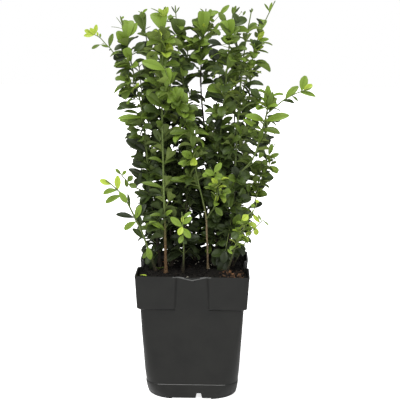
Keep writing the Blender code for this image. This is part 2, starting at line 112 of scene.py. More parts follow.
# %% Floor and light
scene = bpy.context.scene
scene.view_settings.view_transform = "Standard"
FLOOR_SIDE = 12.0
SKY_SEEN = 1.0
SKY_LIGHT = 0.42
KEY_STRENGTH = 3.3
KEY_SOFTNESS = math.radians(50)
FRONT_STRENGTH = 1.2
FLOOR_GLOW = 0.78


def make_world():
    """White where the eye sees it, dimmer where it lights things."""
    world = bpy.data.worlds.new("studio")
    world.use_nodes = True
    nodes, links = world.node_tree.nodes, world.node_tree.links
    background = nodes["Background"]
    path = nodes.new("ShaderNodeLightPath")
    strength = nodes.new("ShaderNodeMapRange")
    strength.inputs["To Min"].default_value = SKY_LIGHT
    strength.inputs["To Max"].default_value = SKY_SEEN
    links.new(path.outputs["Is Camera Ray"], strength.inputs["Value"])
    links.new(strength.outputs["Result"], background.inputs["Strength"])
    background.inputs["Color"].default_value = (1.0, 1.0, 1.0, 1.0)
    scene.world = world


def make_sun(name, strength, softness, toward):
    """A far light that shines from a direction given as a point seen from the origin."""
    data = bpy.data.lights.new(name, "SUN")
    data.energy = strength
    data.angle = softness
    lamp = bpy.data.objects.new(name, data)
    lamp.rotation_mode = "QUATERNION"
    lamp.rotation_quaternion = Vector(toward).to_track_quat("Z", "Y")
    scene.collection.objects.link(lamp)


def make_floor():
    """One large square, level with the pot's foot."""
    half = FLOOR_SIDE / 2
    corners = [(-half, -half, 0), (half, -half, 0), (half, half, 0), (-half, half, 0)]
    mesh = bpy.data.meshes.new("floor")
    mesh.from_pydata(corners, [], [(0, 1, 2, 3)])
    floor = bpy.data.objects.new("floor", mesh)
    scene.collection.objects.link(floor)
    material = bpy.data.materials.new("white_floor")
    material.use_nodes = True
    shader = material.node_tree.nodes["Principled BSDF"]
    shader.inputs["Base Color"].default_value = (0.93, 0.93, 0.93, 1.0)
    shader.inputs["Roughness"].default_value = 0.9
    shader.inputs["Specular IOR Level"].default_value = 0.1
    shader.inputs["Emission Color"].default_value = (1.0, 1.0, 1.0, 1.0)
    nodes, links = material.node_tree.nodes, material.node_tree.links
    glow = nodes.new("ShaderNodeMapRange")
    glow.inputs["To Max"].default_value = FLOOR_GLOW
    links.new(nodes.new("ShaderNodeLightPath").outputs["Is Camera Ray"], glow.inputs["Value"])
    links.new(glow.outputs["Result"], shader.inputs["Emission Strength"])
    mesh.materials.append(material)


make_world()
make_floor()
make_sun("key_light", KEY_STRENGTH, KEY_SOFTNESS, (-0.40, -0.70, 1.40))
make_sun("front_light", FRONT_STRENGTH, math.radians(60), (0.35, -1.0, 0.35))

# %% [markdown]
# ## Helpers for surfaces
# Every surface below is a sheet of points in rows and columns, held in one array. Two
# helpers turn such a sheet into faces and a finished object.

# %% Helpers for surfaces


def grid_faces(rows, columns, around=True):
    """Four-cornered faces between neighbouring rows; around also joins last column to first."""
    row, column = np.meshgrid(np.arange(rows - 1), np.arange(columns - (not around)), indexing="ij")
    ahead = (column + 1) % columns
    quads = [row * columns + column, row * columns + ahead]
    quads += [(row + 1) * columns + ahead, (row + 1) * columns + column]
    return np.stack(quads, axis=-1).reshape(-1, 4)


def fill_mesh(name, points, quads, triangles=None, material_of_face=None):
    """A mesh from arrays of points, quads and triangles, in that order, smooth all over."""
    corners = [np.asarray(quads).reshape(-1)]
    sizes = [np.full(len(quads), 4)]
    if triangles is not None and len(triangles):
        corners.append(np.asarray(triangles).reshape(-1))
        sizes.append(np.full(len(triangles), 3))
    corners, sizes = np.concatenate(corners), np.concatenate(sizes)
    mesh = bpy.data.meshes.new(name)
    mesh.vertices.add(len(points))
    mesh.vertices.foreach_set("co", np.asarray(points, np.float32).reshape(-1))
    mesh.loops.add(len(corners))
    mesh.loops.foreach_set("vertex_index", corners.astype(np.int32))
    mesh.polygons.add(len(sizes))
    starts = np.concatenate([[0], np.cumsum(sizes)[:-1]])
    mesh.polygons.foreach_set("loop_start", starts.astype(np.int32))
    mesh.polygons.foreach_set("use_smooth", np.ones(len(sizes), bool))
    if material_of_face is not None:
        mesh.polygons.foreach_set("material_index", np.asarray(material_of_face, np.int32))
    mesh.update(calc_edges=True)
    mesh.validate()
    return mesh


def finish_piece(name, mesh, materials, replaces=()):
    """Put the mesh in the scene as one piece that rides on the only body."""
    for material in materials:
        mesh.materials.append(material)
    piece = bpy.data.objects.new(name, mesh)
    scene.collection.objects.link(piece)
    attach(piece, "root")
    if replaces:
        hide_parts(*replaces)
    return piece


# %% [markdown]
# ## Finishes of pot and soil
# The pot is charcoal plastic with a satin face: almost black, with a soft sheen where the
# wall turns. Fine flow marks and a little dust keep it from looking polished. Compost is
# dull and dark, with lighter fibres in it; its colours are darker still, as painted shade
# under the crown.

# %% Finishes of pot and soil


def new_material(name):
    material = bpy.data.materials.new(name)
    material.use_nodes = True
    return material, material.node_tree.nodes, material.node_tree.links


def noise_node(nodes, links, scale, detail):
    """A noise pattern read from the object's own coordinates, in metres."""
    where = nodes.new("ShaderNodeTexCoord")
    noise = nodes.new("ShaderNodeTexNoise")
    noise.inputs["Scale"].default_value = scale
    noise.inputs["Detail"].default_value = detail
    links.new(where.outputs["Object"], noise.inputs["Vector"])
    return noise


def ramp_node(nodes, links, source, stops):
    """A colour ramp fed by a pattern; stops are (place, colour)."""
    ramp = nodes.new("ShaderNodeValToRGB")
    while len(ramp.color_ramp.elements) < len(stops):
        ramp.color_ramp.elements.new(0.5)
    for element, (place, colour) in zip(ramp.color_ramp.elements, stops):
        element.position = place
        element.color = (*colour, 1.0)
    links.new(source, ramp.inputs["Fac"])
    return ramp


def bump_node(nodes, links, shader, height, strength, distance):
    bump = nodes.new("ShaderNodeBump")
    bump.inputs["Strength"].default_value = strength
    bump.inputs["Distance"].default_value = distance
    links.new(height, bump.inputs["Height"])
    links.new(bump.outputs["Normal"], shader.inputs["Normal"])


def charcoal_plastic():
    material, nodes, links = new_material("charcoal_plastic")
    shader = nodes["Principled BSDF"]
    clouds = noise_node(nodes, links, 38.0, 5.0)
    colour = ramp_node(
        nodes, links, clouds.outputs["Fac"],
        [(0.30, (0.0064, 0.0065, 0.0058)), (0.72, (0.0105, 0.0106, 0.0093))],
    )
    links.new(colour.outputs["Color"], shader.inputs["Base Color"])
    rough = nodes.new("ShaderNodeMapRange")
    rough.inputs["From Min"].default_value = 0.3
    rough.inputs["From Max"].default_value = 0.7
    rough.inputs["To Min"].default_value = 0.34
    rough.inputs["To Max"].default_value = 0.52
    links.new(clouds.outputs["Fac"], rough.inputs["Value"])
    links.new(rough.outputs["Result"], shader.inputs["Roughness"])
    shader.inputs["Specular IOR Level"].default_value = 0.24
    grain = noise_node(nodes, links, 900.0, 2.0)
    bump_node(nodes, links, shader, grain.outputs["Fac"], 0.12, 0.0002)
    return material


def compost():
    material, nodes, links = new_material("compost")
    shader = nodes["Principled BSDF"]
    crumbs = noise_node(nodes, links, 420.0, 6.0)
    # These colours are darkened past the compost's own, as painted shade from the crown above
    colour = ramp_node(
        nodes, links, crumbs.outputs["Fac"],
        [(0.34, (0.0030, 0.0026, 0.0022)), (0.58, (0.0070, 0.0058, 0.0046)), (0.80, (0.030, 0.023, 0.016))],
    )
    links.new(colour.outputs["Color"], shader.inputs["Base Color"])
    shader.inputs["Roughness"].default_value = 0.95
    shader.inputs["Specular IOR Level"].default_value = 0.2
    bump_node(nodes, links, shader, crumbs.outputs["Fac"], 0.7, 0.0012)
    return material


plastic = charcoal_plastic()
# A lighter plastic for the dipped lip and the ledge near the foot: a painted highlight where these edges
# catch the light, with a little wear
highlight_and_wear_plastic, nodes, _ = new_material("highlight_and_wear_plastic_edge")
nodes["Principled BSDF"].inputs["Base Color"].default_value = (0.070, 0.071, 0.068, 1.0)
nodes["Principled BSDF"].inputs["Roughness"].default_value = 0.4
compost_with_painted_shade = compost()
print("finishes:", plastic.name, compost_with_painted_shade.name)

# %% [markdown]
# ## The pot's outline
# Seen from above the pot is a square with rounded corners. Each side is a run of straight
# columns, with extra ones at the flat panel that breaks the collar, and then a quarter
# circle to the next side. One function gives the whole outline for any height; the wall is
# a stack of such outlines, so it could be a lathe's work but for the square plan.

# %% The pot's outline
POT_HEIGHT = 0.1735
WALL = 0.0016
FLAT_HALF = 0.0688
PANEL_HALF = 0.0188
PANEL_SLANT = 0.053  # the panel is this much wider at the collar's foot, and narrower at the rim
PANEL_STEP = 0.0056
DIP_HALF = 0.0247
DIP_DEPTH = 0.0055
COLLAR_BOTTOM = 0.1262
PANEL_AT_BOTTOM = 0.0686
PANEL_AT_TOP = 0.0708
CORNER_COLUMNS = 12
LEAST_CORNER = 0.0012

# Where the columns of one side stand, from its middle out
SIDE_COLUMNS = np.concatenate([
    np.linspace(0.0, PANEL_HALF - 0.001, 9),
    PANEL_HALF + PANEL_STEP * np.linspace(-0.1, 0.9, 7),
    [DIP_HALF - 0.0006, DIP_HALF + 0.0006],
    np.linspace(DIP_HALF + 0.004, FLAT_HALF, 9),
])
SIDE_COLUMNS = np.concatenate([-SIDE_COLUMNS[:0:-1], SIDE_COLUMNS])


def smooth_step(t):
    t = np.clip(t, 0.0, 1.0)
    return t * t * (3.0 - 2.0 * t)


def pot_outline(height, half, corner, inward=0.0, collar=0.0, dip=0.0):
    """One level outline as an array of points.

    Along a side the distance out is the half width, drawn in to the panel's plane by a
    smooth step where the collar is broken; the panel narrows a little upwards. The corner
    is a quarter circle. The rim drops in a straight line from both ends of the dip to its
    middle.
    """
    outer = half - inward
    radius = max(corner - inward, LEAST_CORNER)
    flat = outer - radius
    size = np.abs(SIDE_COLUMNS)
    rise = (height - COLLAR_BOTTOM) / (POT_HEIGHT - COLLAR_BOTTOM)
    slant = 1.0 + PANEL_SLANT * (1.0 - 2.0 * min(max(rise, 0.0), 1.0))
    beyond = DIP_HALF + (size - DIP_HALF) * (flat - DIP_HALF) / (FLAT_HALF - DIP_HALF)
    near_panel = np.clip((DIP_HALF - size) / (DIP_HALF - PANEL_HALF), 0.0, 1.0)
    fixed = np.where(size <= DIP_HALF, size * (1.0 + (slant - 1.0) * near_panel), beyond)
    scaled = size * flat / FLAT_HALF
    along = np.sign(SIDE_COLUMNS) * (collar * fixed + (1.0 - collar) * scaled)
    inset = PANEL_AT_BOTTOM + rise * (PANEL_AT_TOP - PANEL_AT_BOTTOM) - inward
    on_collar = smooth_step((np.abs(along) - PANEL_HALF * slant) / PANEL_STEP)
    out = outer + collar * (inset - outer) * (1.0 - on_collar)
    drop = dip * np.clip(1.0 - np.abs(along) / DIP_HALF, 0.0, 1.0)
    bend = np.linspace(0.0, math.pi / 2, CORNER_COLUMNS + 1)[1:-1]
    side_out = np.concatenate([out, flat + radius * np.cos(bend)])
    side_along = np.concatenate([along, flat + radius * np.sin(bend)])
    side_height = height - np.concatenate([drop, np.zeros(len(bend))])
    rings = []
    for quarter in range(4):
        c, s = math.cos(quarter * math.pi / 2), math.sin(quarter * math.pi / 2)
        x = side_out * c - side_along * s
        y = side_out * s + side_along * c
        rings.append(np.stack([x, y, side_height], axis=-1))
    return np.concatenate(rings)


print("columns round the pot:", len(pot_outline(0.0, 0.06, 0.01)))

# %% [markdown]
# ## The pot's wall and foot
# The body widens evenly from a rounded foot to the collar. A thin ledge runs round near the
# foot, where the lower band stands slightly proud. The collar flares out over a short slope
# and ends in a small rounded lip. The inside follows the outside at the wall's thickness.
# The foot is cut by a wide cross-shaped channel, a raised edge, a small drain notch on each
# side and five round holes; cutting them out of the moulded shell with Booleans keeps the
# plastic's corners crisp there.

# %% The pot's wall and foot
# height, half width, corner radius
BODY_ROWS = (
    (0.0000, 0.0604, 0.0392),
    (0.0004, 0.0607, 0.0392),
    (0.0012, 0.0609, 0.0386),
    (0.0040, 0.0611, 0.0350),
    (0.0080, 0.0615, 0.0300),
    (0.0124, 0.0618, 0.0260),
    (0.0170, 0.0624, 0.0242),
    (0.0202, 0.0628, 0.0235),
    (0.0208, 0.0627, 0.0234),
    (0.0212, 0.0623, 0.0232),
    (0.0260, 0.0627, 0.0222),
    (0.0368, 0.0638, 0.0200),
    (0.0540, 0.0648, 0.0168),
    (0.0730, 0.0658, 0.0134),
    (0.0919, 0.0669, 0.0100),
    (0.1080, 0.0677, 0.0081),
    (0.1220, 0.0684, 0.0065),
    (0.1258, 0.0686, 0.0060),
)
COLLAR_ROWS = (
    (0.1262, 0.0687, 0.0060),
    (0.1266, 0.0692, 0.0058),
    (0.1278, 0.0710, 0.0050),
    (0.1286, 0.0722, 0.0044),
    (0.1293, 0.0727, 0.0041),
    (0.1310, 0.0729, 0.0040),
    (0.1460, 0.0738, 0.0037),
)
# The lip: height, half width, corner radius, share of the dip
LIP_ROWS = (
    (0.1600, 0.0746, 0.0034, 0.6),
    (0.1696, 0.0751, 0.0032, 1.0),
    (0.1712, 0.0755, 0.0033, 1.0),
    (0.1726, 0.0756, 0.0033, 1.0),
    (0.1733, 0.0754, 0.0031, 1.0),
    (0.1735, 0.0748, 0.0030, 1.0),
    (0.1734, 0.0742, 0.0028, 0.9),
    (0.1731, 0.0739, 0.0027, 0.40),
    (0.1731, 0.0736, 0.0026, 0.30),
    (0.1727, 0.0734, 0.0025, 0.25),
)
INNER_ROWS = (
    (0.1700, 0.0751, 0.0032, 1.0),
    (0.1500, 0.0740, 0.0036, 1.0),
    (0.1314, 0.0728, 0.0040, 1.0),
    (0.1280, 0.0686, 0.0060, 1.0),
    (0.0919, 0.0666, 0.0100, 0.0),
    (0.0368, 0.0635, 0.0200, 0.0),
    (0.0124, 0.0615, 0.0260, 0.0),
    (0.0026, 0.0606, 0.0354, 0.0),
    (0.0020, 0.0600, 0.0354, 0.0),
)
FOOT_PLATE = 0.0020
CHANNEL_HALF = 0.0280
CHANNEL_HEIGHT = 0.0090
EDGE_LIFT = 0.0018
NOTCH_HEIGHT = 0.0087
NOTCH_BOTTOM = 0.0050
NOTCH_TOP = 0.0028
NOTCH_OFFSET = 0.0098
HOLE_RADIUS = 0.0038
HOLE_OFFSET = 0.0400
FOOT_HALF = 0.0608
CUT_MARGIN = 0.001


def quarter_turns():
    """For each side of the pot, the direction out of it and the direction along it."""
    for quarter in range(4):
        out = np.array([math.cos(quarter * math.pi / 2), math.sin(quarter * math.pi / 2)])
        yield out, np.array([-out[1], out[0]])


def prism(name, outlines):
    """A block between two equal outlines, each an array of points."""
    count = len(outlines[0])
    mesh = bpy.data.meshes.new(name)
    faces = [tuple(f) for f in grid_faces(2, count)]
    faces += [tuple(reversed(range(count))), tuple(range(count, 2 * count))]
    mesh.from_pydata(np.concatenate(outlines).tolist(), [], faces)
    block = bpy.data.objects.new(name, mesh)
    scene.collection.objects.link(block)
    return block


def cross_block(name, arm, reach, low, high):
    """A plus-shaped block: both arms have one half width and one length."""
    plan = []
    for out, along in quarter_turns():
        plan += [out * reach - along * arm, out * reach + along * arm, (out + along) * arm]
    return prism(name, [np.array([(x, y, z) for x, y in plan]) for z in (low, high)])


def round_block(name, x, y, low, high):
    turns = np.linspace(0.0, 2 * math.pi, 24, endpoint=False)
    px, py = x + HOLE_RADIUS * np.cos(turns), y + HOLE_RADIUS * np.sin(turns)
    return prism(name, [np.stack([px, py, np.full(24, z)], axis=-1) for z in (low, high)])


def notch_block(name, out, along):
    """A wedge, wide at the bottom, that goes through the wall near the middle of a side."""
    profile = [(-NOTCH_BOTTOM, -CUT_MARGIN), (NOTCH_BOTTOM, -CUT_MARGIN)]
    profile += [(NOTCH_TOP, NOTCH_HEIGHT), (-NOTCH_TOP, NOTCH_HEIGHT)]
    ends = []
    for depth in (0.055, 0.066):
        middle = out * depth + along * NOTCH_OFFSET
        ends.append(np.array([(*(middle + along * s), z) for s, z in profile]))
    return prism(name, ends)


def apply_boolean(piece, block, operation):
    step = piece.modifiers.new(block.name, "BOOLEAN")
    step.operation = operation
    step.solver = "EXACT"
    step.object = block
    bpy.context.view_layer.update()
    done = bpy.data.meshes.new_from_object(piece.evaluated_get(bpy.context.evaluated_depsgraph_get()))
    piece.modifiers.clear()
    piece.data = done
    bpy.data.objects.remove(block, do_unlink=True)


def make_pot():
    """Rings up the outside, over the lip and down the inside, closed by two flat floors."""
    rings = [pot_outline(*row) for row in BODY_ROWS]
    rings += [pot_outline(*row, collar=1.0) for row in COLLAR_ROWS]
    rings += [pot_outline(z, h, c, 0.0, 1.0, share * DIP_DEPTH) for z, h, c, share in LIP_ROWS]
    rings += [pot_outline(z, h, c, WALL, collar) for z, h, c, collar in INNER_ROWS]
    count = len(rings[0])
    faces = [tuple(f) for f in grid_faces(len(rings), count)]
    last = (len(rings) - 1) * count
    faces += [tuple(reversed(range(count))), tuple(last + i for i in range(count))]
    mesh = bpy.data.meshes.new("nursery_pot")
    mesh.from_pydata(np.concatenate(rings).tolist(), [], faces)
    shell = bpy.data.objects.new("pot_shell", mesh)
    scene.collection.objects.link(shell)
    floor = CHANNEL_HEIGHT + FOOT_PLATE
    riser = cross_block("riser", CHANNEL_HALF + WALL, FOOT_HALF - WALL / 2, FOOT_PLATE / 2, floor)
    apply_boolean(shell, riser, "UNION")
    channel = cross_block("channel", CHANNEL_HALF, FOOT_HALF - WALL, -CUT_MARGIN, CHANNEL_HEIGHT)
    apply_boolean(shell, channel, "DIFFERENCE")
    edge = cross_block("edge", CHANNEL_HALF - 0.0015, 0.080, -2 * CUT_MARGIN, EDGE_LIFT)
    apply_boolean(shell, edge, "DIFFERENCE")
    for out, along in quarter_turns():
        apply_boolean(shell, notch_block("notch", out, along), "DIFFERENCE")
    for x, y in ((0, 0), (1, 0), (-1, 0), (0, 1), (0, -1)):
        across, back = x * HOLE_OFFSET, y * HOLE_OFFSET
        hole = round_block("hole", across, back, CHANNEL_HEIGHT - CUT_MARGIN, floor + CUT_MARGIN)
        apply_boolean(shell, hole, "DIFFERENCE")
    mesh = shell.data
    bpy.data.objects.remove(shell, do_unlink=True)
    mesh.polygons.foreach_set("use_smooth", np.ones(len(mesh.polygons), bool))
    mesh.set_sharp_from_angle(angle=math.radians(40))
    mark_highlight_and_wear_faces(mesh)
    return mesh


LIP_HIGHLIGHT_BAND = 0.0009  # height of the band of painted highlight and wear on the lip, in the dip
LIP_OUTSIDE = 0.0690
LEDGE_LOW = 0.0205
LEDGE_HIGH = 0.0213
LEDGE_HALF = 0.049
LEDGE_OUTSIDE = 0.0618


def mark_highlight_and_wear_faces(mesh):
    """Pick the faces on the dipped lip and on the ledge near the foot for the lighter finish: a painted
    highlight, with a little wear.
    """
    centres = np.empty(3 * len(mesh.polygons), np.float32)
    mesh.polygons.foreach_get("center", centres)
    x, y, z = centres.reshape(-1, 3).T
    out, along = np.maximum(np.abs(x), np.abs(y)), np.minimum(np.abs(x), np.abs(y))
    lip_height = POT_HEIGHT - DIP_DEPTH * np.clip(1.0 - along / DIP_HALF, 0.0, 1.0)
    near_lip = np.abs(z - lip_height) < LIP_HIGHLIGHT_BAND
    on_lip = (along < DIP_HALF) & near_lip & (out > LIP_OUTSIDE)
    on_ledge = (z > LEDGE_LOW) & (z < LEDGE_HIGH) & (along < LEDGE_HALF) & (out > LEDGE_OUTSIDE)
    mesh.polygons.foreach_set("material_index", (on_lip | on_ledge).astype(np.int32))


pot_mesh = make_pot()
finish_piece("nursery_pot", pot_mesh, [plastic, highlight_and_wear_plastic], ["pot"])
print("pot faces:", len(pot_mesh.polygons))

# %% [markdown]
# ## Compost
# The compost fills the pot to a finger's breadth below the rim. Its top is a low mound with
# lumps of several sizes: a few waves give the gentle swells, and scattered crumbs give the
# broken surface. The same outline function keeps its edge against the wall.

# %% Compost
SOIL_EDGE = 0.1655
SOIL_MIDDLE = 0.1680
SOIL_ROUGH = 0.0008
SOIL_GAP = 0.0004
RIM_INSIDE = 0.0746


def soil_height(x, y):
    """The mound falls off with the fourth power of the distance out; waves add the lumps."""
    edge = np.maximum(np.abs(x), np.abs(y)) / RIM_INSIDE
    mound = SOIL_MIDDLE + (SOIL_EDGE - SOIL_MIDDLE) * edge**4
    lumps = np.sin(91 * x + 1.3) * np.cos(83 * y - 0.4) + 0.6 * np.sin(170 * x - 140 * y)
    return mound + SOIL_ROUGH * lumps


def fine_lumps(x, y):
    """Smaller waves at odd angles to each other, which never line up into rows."""
    total = np.zeros_like(x)
    for size, turn, shift in ((310, 0.4, 0.0), (420, 1.5, 2.1), (560, 2.3, 4.0), (760, 0.9, 1.1)):
        phase = size * (x * math.cos(turn) + y * math.sin(turn)) + shift
        total += np.sin(phase) * np.sin(0.7 * size * (y * math.cos(turn) - x * math.sin(turn)))
    return total


def make_soil():
    """Outlines up the wall, then the same outline shrunk step by step to the middle."""
    inward = WALL + SOIL_GAP
    rings = [pot_outline(0.0115, 0.0615, 0.0260, inward)]
    rings += [pot_outline(0.0368, 0.0635, 0.0200, inward), pot_outline(0.0919, 0.0666, 0.0100, inward)]
    rings += [pot_outline(0.1276, 0.0686, 0.0060, inward, 1.0)]
    rings += [pot_outline(0.1318, 0.0728, 0.0040, inward, 1.0)]
    edge = pot_outline(SOIL_EDGE, 0.0748, 0.0033, inward, 1.0)
    for share in np.linspace(1.0, 0.02, 42):
        x, y = edge[:, 0] * share, edge[:, 1] * share
        rings.append(np.stack([x, y, soil_height(x, y) + 0.00035 * fine_lumps(x, y)], axis=-1))
    count = len(edge)
    points = np.concatenate(rings)
    bottom = points[:count].mean(axis=0)
    top = points[-count:].mean(axis=0)
    points = np.concatenate([points, [bottom, top]])
    here = np.arange(count)
    ahead = (here + 1) % count
    low_fan = np.stack([np.full(count, len(points) - 2), ahead, here], axis=-1)
    base = len(points) - 2 - count
    high_fan = np.stack([np.full(count, len(points) - 1), base + here, base + ahead], axis=-1)
    fans = np.concatenate([low_fan, high_fan])
    return fill_mesh("compost_bed", points, grid_faces(len(rings), count), fans)


finish_piece("compost_bed", make_soil(), [compost_with_painted_shade], ["soil"])

# %% [markdown]
# ## Crumbs
# Loose crumbs of compost, bark chips and a few pale grains lie on top. Each is an eight-
# cornered lump, pushed about by chance, and lies half sunk in the mound.

# %% Crumbs
rng = np.random.default_rng(20)
LUMP_CORNERS = np.array([(x, y, z) for z in (-1, 1) for x, y in ((-1, -1), (1, -1), (1, 1), (-1, 1))], float)
LUMP_FACES = np.array([(3, 2, 1, 0), (4, 5, 6, 7), (0, 1, 5, 4), (1, 2, 6, 5), (2, 3, 7, 6), (3, 0, 4, 7)])


def make_lumps(name, places, sizes, flatness, material):
    """Boxes with shaken corners, each turned and stretched by chance, joined in one mesh."""
    count = len(places)
    corners = LUMP_CORNERS[None] * rng.uniform(0.55, 1.0, (count, 8, 3))
    stretch = np.stack([rng.uniform(0.7, 1.5, count), rng.uniform(0.6, 1.1, count), flatness], axis=-1)
    corners = corners * stretch[:, None] * sizes[:, None, None] / 2
    spin, tip = rng.uniform(0, 2 * math.pi, count), rng.normal(0, 0.35, count)
    x = corners[..., 0] * np.cos(tip)[:, None] - corners[..., 2] * np.sin(tip)[:, None]
    z = corners[..., 0] * np.sin(tip)[:, None] + corners[..., 2] * np.cos(tip)[:, None]
    c, s = np.cos(spin)[:, None], np.sin(spin)[:, None]
    turned = np.stack([x * c - corners[..., 1] * s, x * s + corners[..., 1] * c, z], axis=-1)
    points = turned + places[:, None]
    faces = LUMP_FACES[None] + 8 * np.arange(count)[:, None, None]
    mesh = fill_mesh(name, points.reshape(-1, 3), faces.reshape(-1, 4))
    mesh.set_sharp_from_angle(angle=math.radians(50))
    return finish_piece(name, mesh, [material])


def on_soil(x, y, lift=0.0):
    return np.stack([x, y, soil_height(x, y) + lift], axis=-1)


def plain(name, colour, roughness, shine=0.5):
    """A material of one plain colour."""
    material, nodes, _ = new_material(name)
    shader = nodes["Principled BSDF"]
    shader.inputs["Base Color"].default_value = (*colour, 1.0)
    shader.inputs["Roughness"].default_value = roughness
    shader.inputs["Specular IOR Level"].default_value = shine
    return material


CRUMBS = 1700
CRUMB_LIFT = 0.0003
spread = rng.uniform(-0.0695, 0.0695, (2, CRUMBS))
crumb_sizes = 0.0010 + 0.0026 * rng.random(CRUMBS) ** 3
crumb_places = on_soil(*spread, CRUMB_LIFT)
crumb_flatness = rng.uniform(0.5, 1.0, CRUMBS)
make_lumps("compost_crumbs", crumb_places, crumb_sizes, crumb_flatness, compost_with_painted_shade)

# Bark chips lie in the right front corner, with a few elsewhere; two in three are old and dark
CHIPS = 60
CORNER_CHIPS = 54
CHIP_LIFT = 0.0012
spread = rng.uniform(-0.066, 0.066, (2, CHIPS))
spread[0, :CORNER_CHIPS] = rng.uniform(0.036, 0.069, CORNER_CHIPS)
spread[1, :CORNER_CHIPS] = rng.uniform(-0.068, -0.014, CORNER_CHIPS)
chip_places = on_soil(*spread, CHIP_LIFT)
chip_sizes = rng.uniform(0.0014, 0.0060, CHIPS)
chip_flatness = rng.uniform(0.2, 0.5, CHIPS)
BARK_CHIPS = (
    ("bark_chips", plain("bark_chip", (0.200, 0.100, 0.048), 0.85, 0.2), slice(0, None, 3)),
    ("old_bark_chips", plain("old_bark_chip", (0.060, 0.034, 0.019), 0.85, 0.2), slice(1, None, 3)),
    ("dark_bark_chips", plain("dark_bark_chip", (0.024, 0.015, 0.010), 0.85, 0.2), slice(2, None, 3)),
)
for name, colour, pick in BARK_CHIPS:
    make_lumps(name, chip_places[pick], chip_sizes[pick], chip_flatness[pick], colour)

GRAINS = 12
GRAIN_LIFT = 0.0006
spread = rng.uniform(-0.060, 0.060, (2, GRAINS))
grain_pale = plain("pale_grain", (0.30, 0.28, 0.23), 0.8, 0.3)
grain_places = on_soil(*spread, GRAIN_LIFT)
grain_sizes = rng.uniform(0.0013, 0.0026, GRAINS)
grain_flatness = rng.uniform(0.6, 1.0, GRAINS)
make_lumps("pale_grains", grain_places, grain_sizes, grain_flatness, grain_pale)
print("crumbs, chips and grains:", CRUMBS, CHIPS, GRAINS)

# %% [markdown]
# ## The limbs
# The plant is a clump of upright shoots, with a few boughs that fork off them and sprays
# that stand clear of the crown. Each limb is one smooth path through a few points, from the
# foot to the tip, in millimetres, with its radius at both ends and the stretch of height
# that has leaves. These are the frame's own paths, so bark and leaves grow where the solids
# stand. A fork starts inside its parent, a little below where it comes clear.

# %% The limbs
# A limb's youth moves its leaves' tone; the shoots at the back and inside have it below zero, which paints
# their shade
Limb = collections.namedtuple("Limb", "path foot tip leaves reach youth leaf clear")
UPRIGHT = {
    "front_left": Limb(
        [(-36, -35), (-38, -40, 245), (-40, -45, 336), (-41, -50, 427), (-38, -50, 519)],
        2.0, 0.8, [(206, 519)], 24, 0.35, 27, 36,
    ),
    "left": Limb(
        [(-46, 0), (-53, 0, 234), (-61, -5, 290), (-68, -10, 372), (-80, -12, 430), (-97, -15, 507)],
        2.2, 0.8, [(182, 507)], 25, 0.1, 26, 40,
    ),
    "left_inner": Limb(
        [(-30, 6), (-34, 8, 250), (-42, 10, 350), (-56, 10, 430), (-72, 8, 514)],
        1.8, 0.7, [(184, 514)], 24, -0.5, 26, 34,
    ),
    "middle": Limb(
        [(-14, -16), (-10, -6, 264), (-10, 4, 331), (-13, 6, 398), (-22, 8, 460), (-27, 10, 522)],
        1.8, 0.7, [(186, 522)], 24, -0.5, 26, 30,
    ),
    "front_middle": Limb(
        [(20, -6), (18, -18, 217), (16, -27, 250), (4, -42, 305), (-5, -55, 364), (-24, -64, 408)]
        + [(-37, -72, 446)],
        1.4, 0.7, [(281, 446)], 20, 0.1, 24, 26,
    ),
    "right": Limb(
        [(45, -4), (52, -12, 245), (56, -19, 334), (59, -20, 400), (59, -20, 408)],
        2.3, 1.4, [(184, 408)], 26, 0.0, 26, 0,
    ),
    "right_inner": Limb(
        [(30, 8), (33, 4, 260), (35, -8, 350), (41, -22, 420), (46, -34, 484), (50, -36, 519)],
        1.9, 0.8, [(188, 519)], 25, 0.1, 26, 34,
    ),
    "slender": Limb(
        [(25, 28), (21, 35, 256), (16, 34, 330), (11, 26, 372), (8, 18, 410), (8, 8, 445), (14, 0, 518)],
        1.9, 0.8, [(186, 374), (402, 518)], 24, -0.2, 25, 32,
    ),
    "back_left": Limb(
        [(-28, 36), (-38, 44, 290), (-45, 50, 400), (-52, 54, 478)],
        2.0, 0.8, [(174, 478)], 27, -0.8, 26, 0,
    ),
    "back_middle": Limb(
        [(0, 44), (-5, 54, 290), (-12, 60, 400), (-12, 62, 468)],
        1.8, 0.8, [(173, 468)], 26, -0.8, 26, 0,
    ),
    "back_right": Limb(
        [(40, 36), (50, 46, 290), (55, 54, 400), (56, 58, 481)],
        2.0, 0.8, [(174, 481)], 27, -0.8, 26, 0,
    ),
    "left_rear": Limb(
        [(-50, 26), (-66, 32, 290), (-72, 38, 380), (-78, 42, 440)],
        1.7, 0.8, [(184, 440)], 9, -0.9, 18, 0,
    ),
    "right_rear": Limb(
        [(52, 18), (64, 24, 270), (70, 28, 360), (76, 30, 441)],
        1.8, 0.8, [(182, 441)], 21.5, -0.7, 24, 0,
    ),
    "low_front": Limb(
        [(-13, -34), (-12, -50, 211), (-13, -60, 236), (-14, -66, 258)],
        1.3, 0.7, [(203, 258)], 16, 1.3, 0, 0,
    ),
    "low_right_front": Limb(
        [(46, -26), (57, -38, 208), (66, -47, 228), (76, -56, 252), (83, -60, 268)],
        1.4, 0.6, [(196, 268)], 15, 0.5, 14, 30,
    ),
    "low_left": Limb(
        [(-50, -22), (-69, -36, 226), (-74.5, -41.5, 238.5), (-81, -47, 255), (-91, -52, 275)]
        + [(-105, -58, 291), (-113, -60, 297.5)],
        1.9, 1.1, [(236, 303)], 12, 0.8, 0, 0,
    ),
    "low_right": Limb(
        [(53, 6), (68, -1, 199), (76.5, -10.5, 217.5), (84, -18, 229), (92, -25, 239), (95, -27, 241.5)],
        1.2, 0.6, [(216, 247)], 11, 1.2, 0, 0,
    ),
}

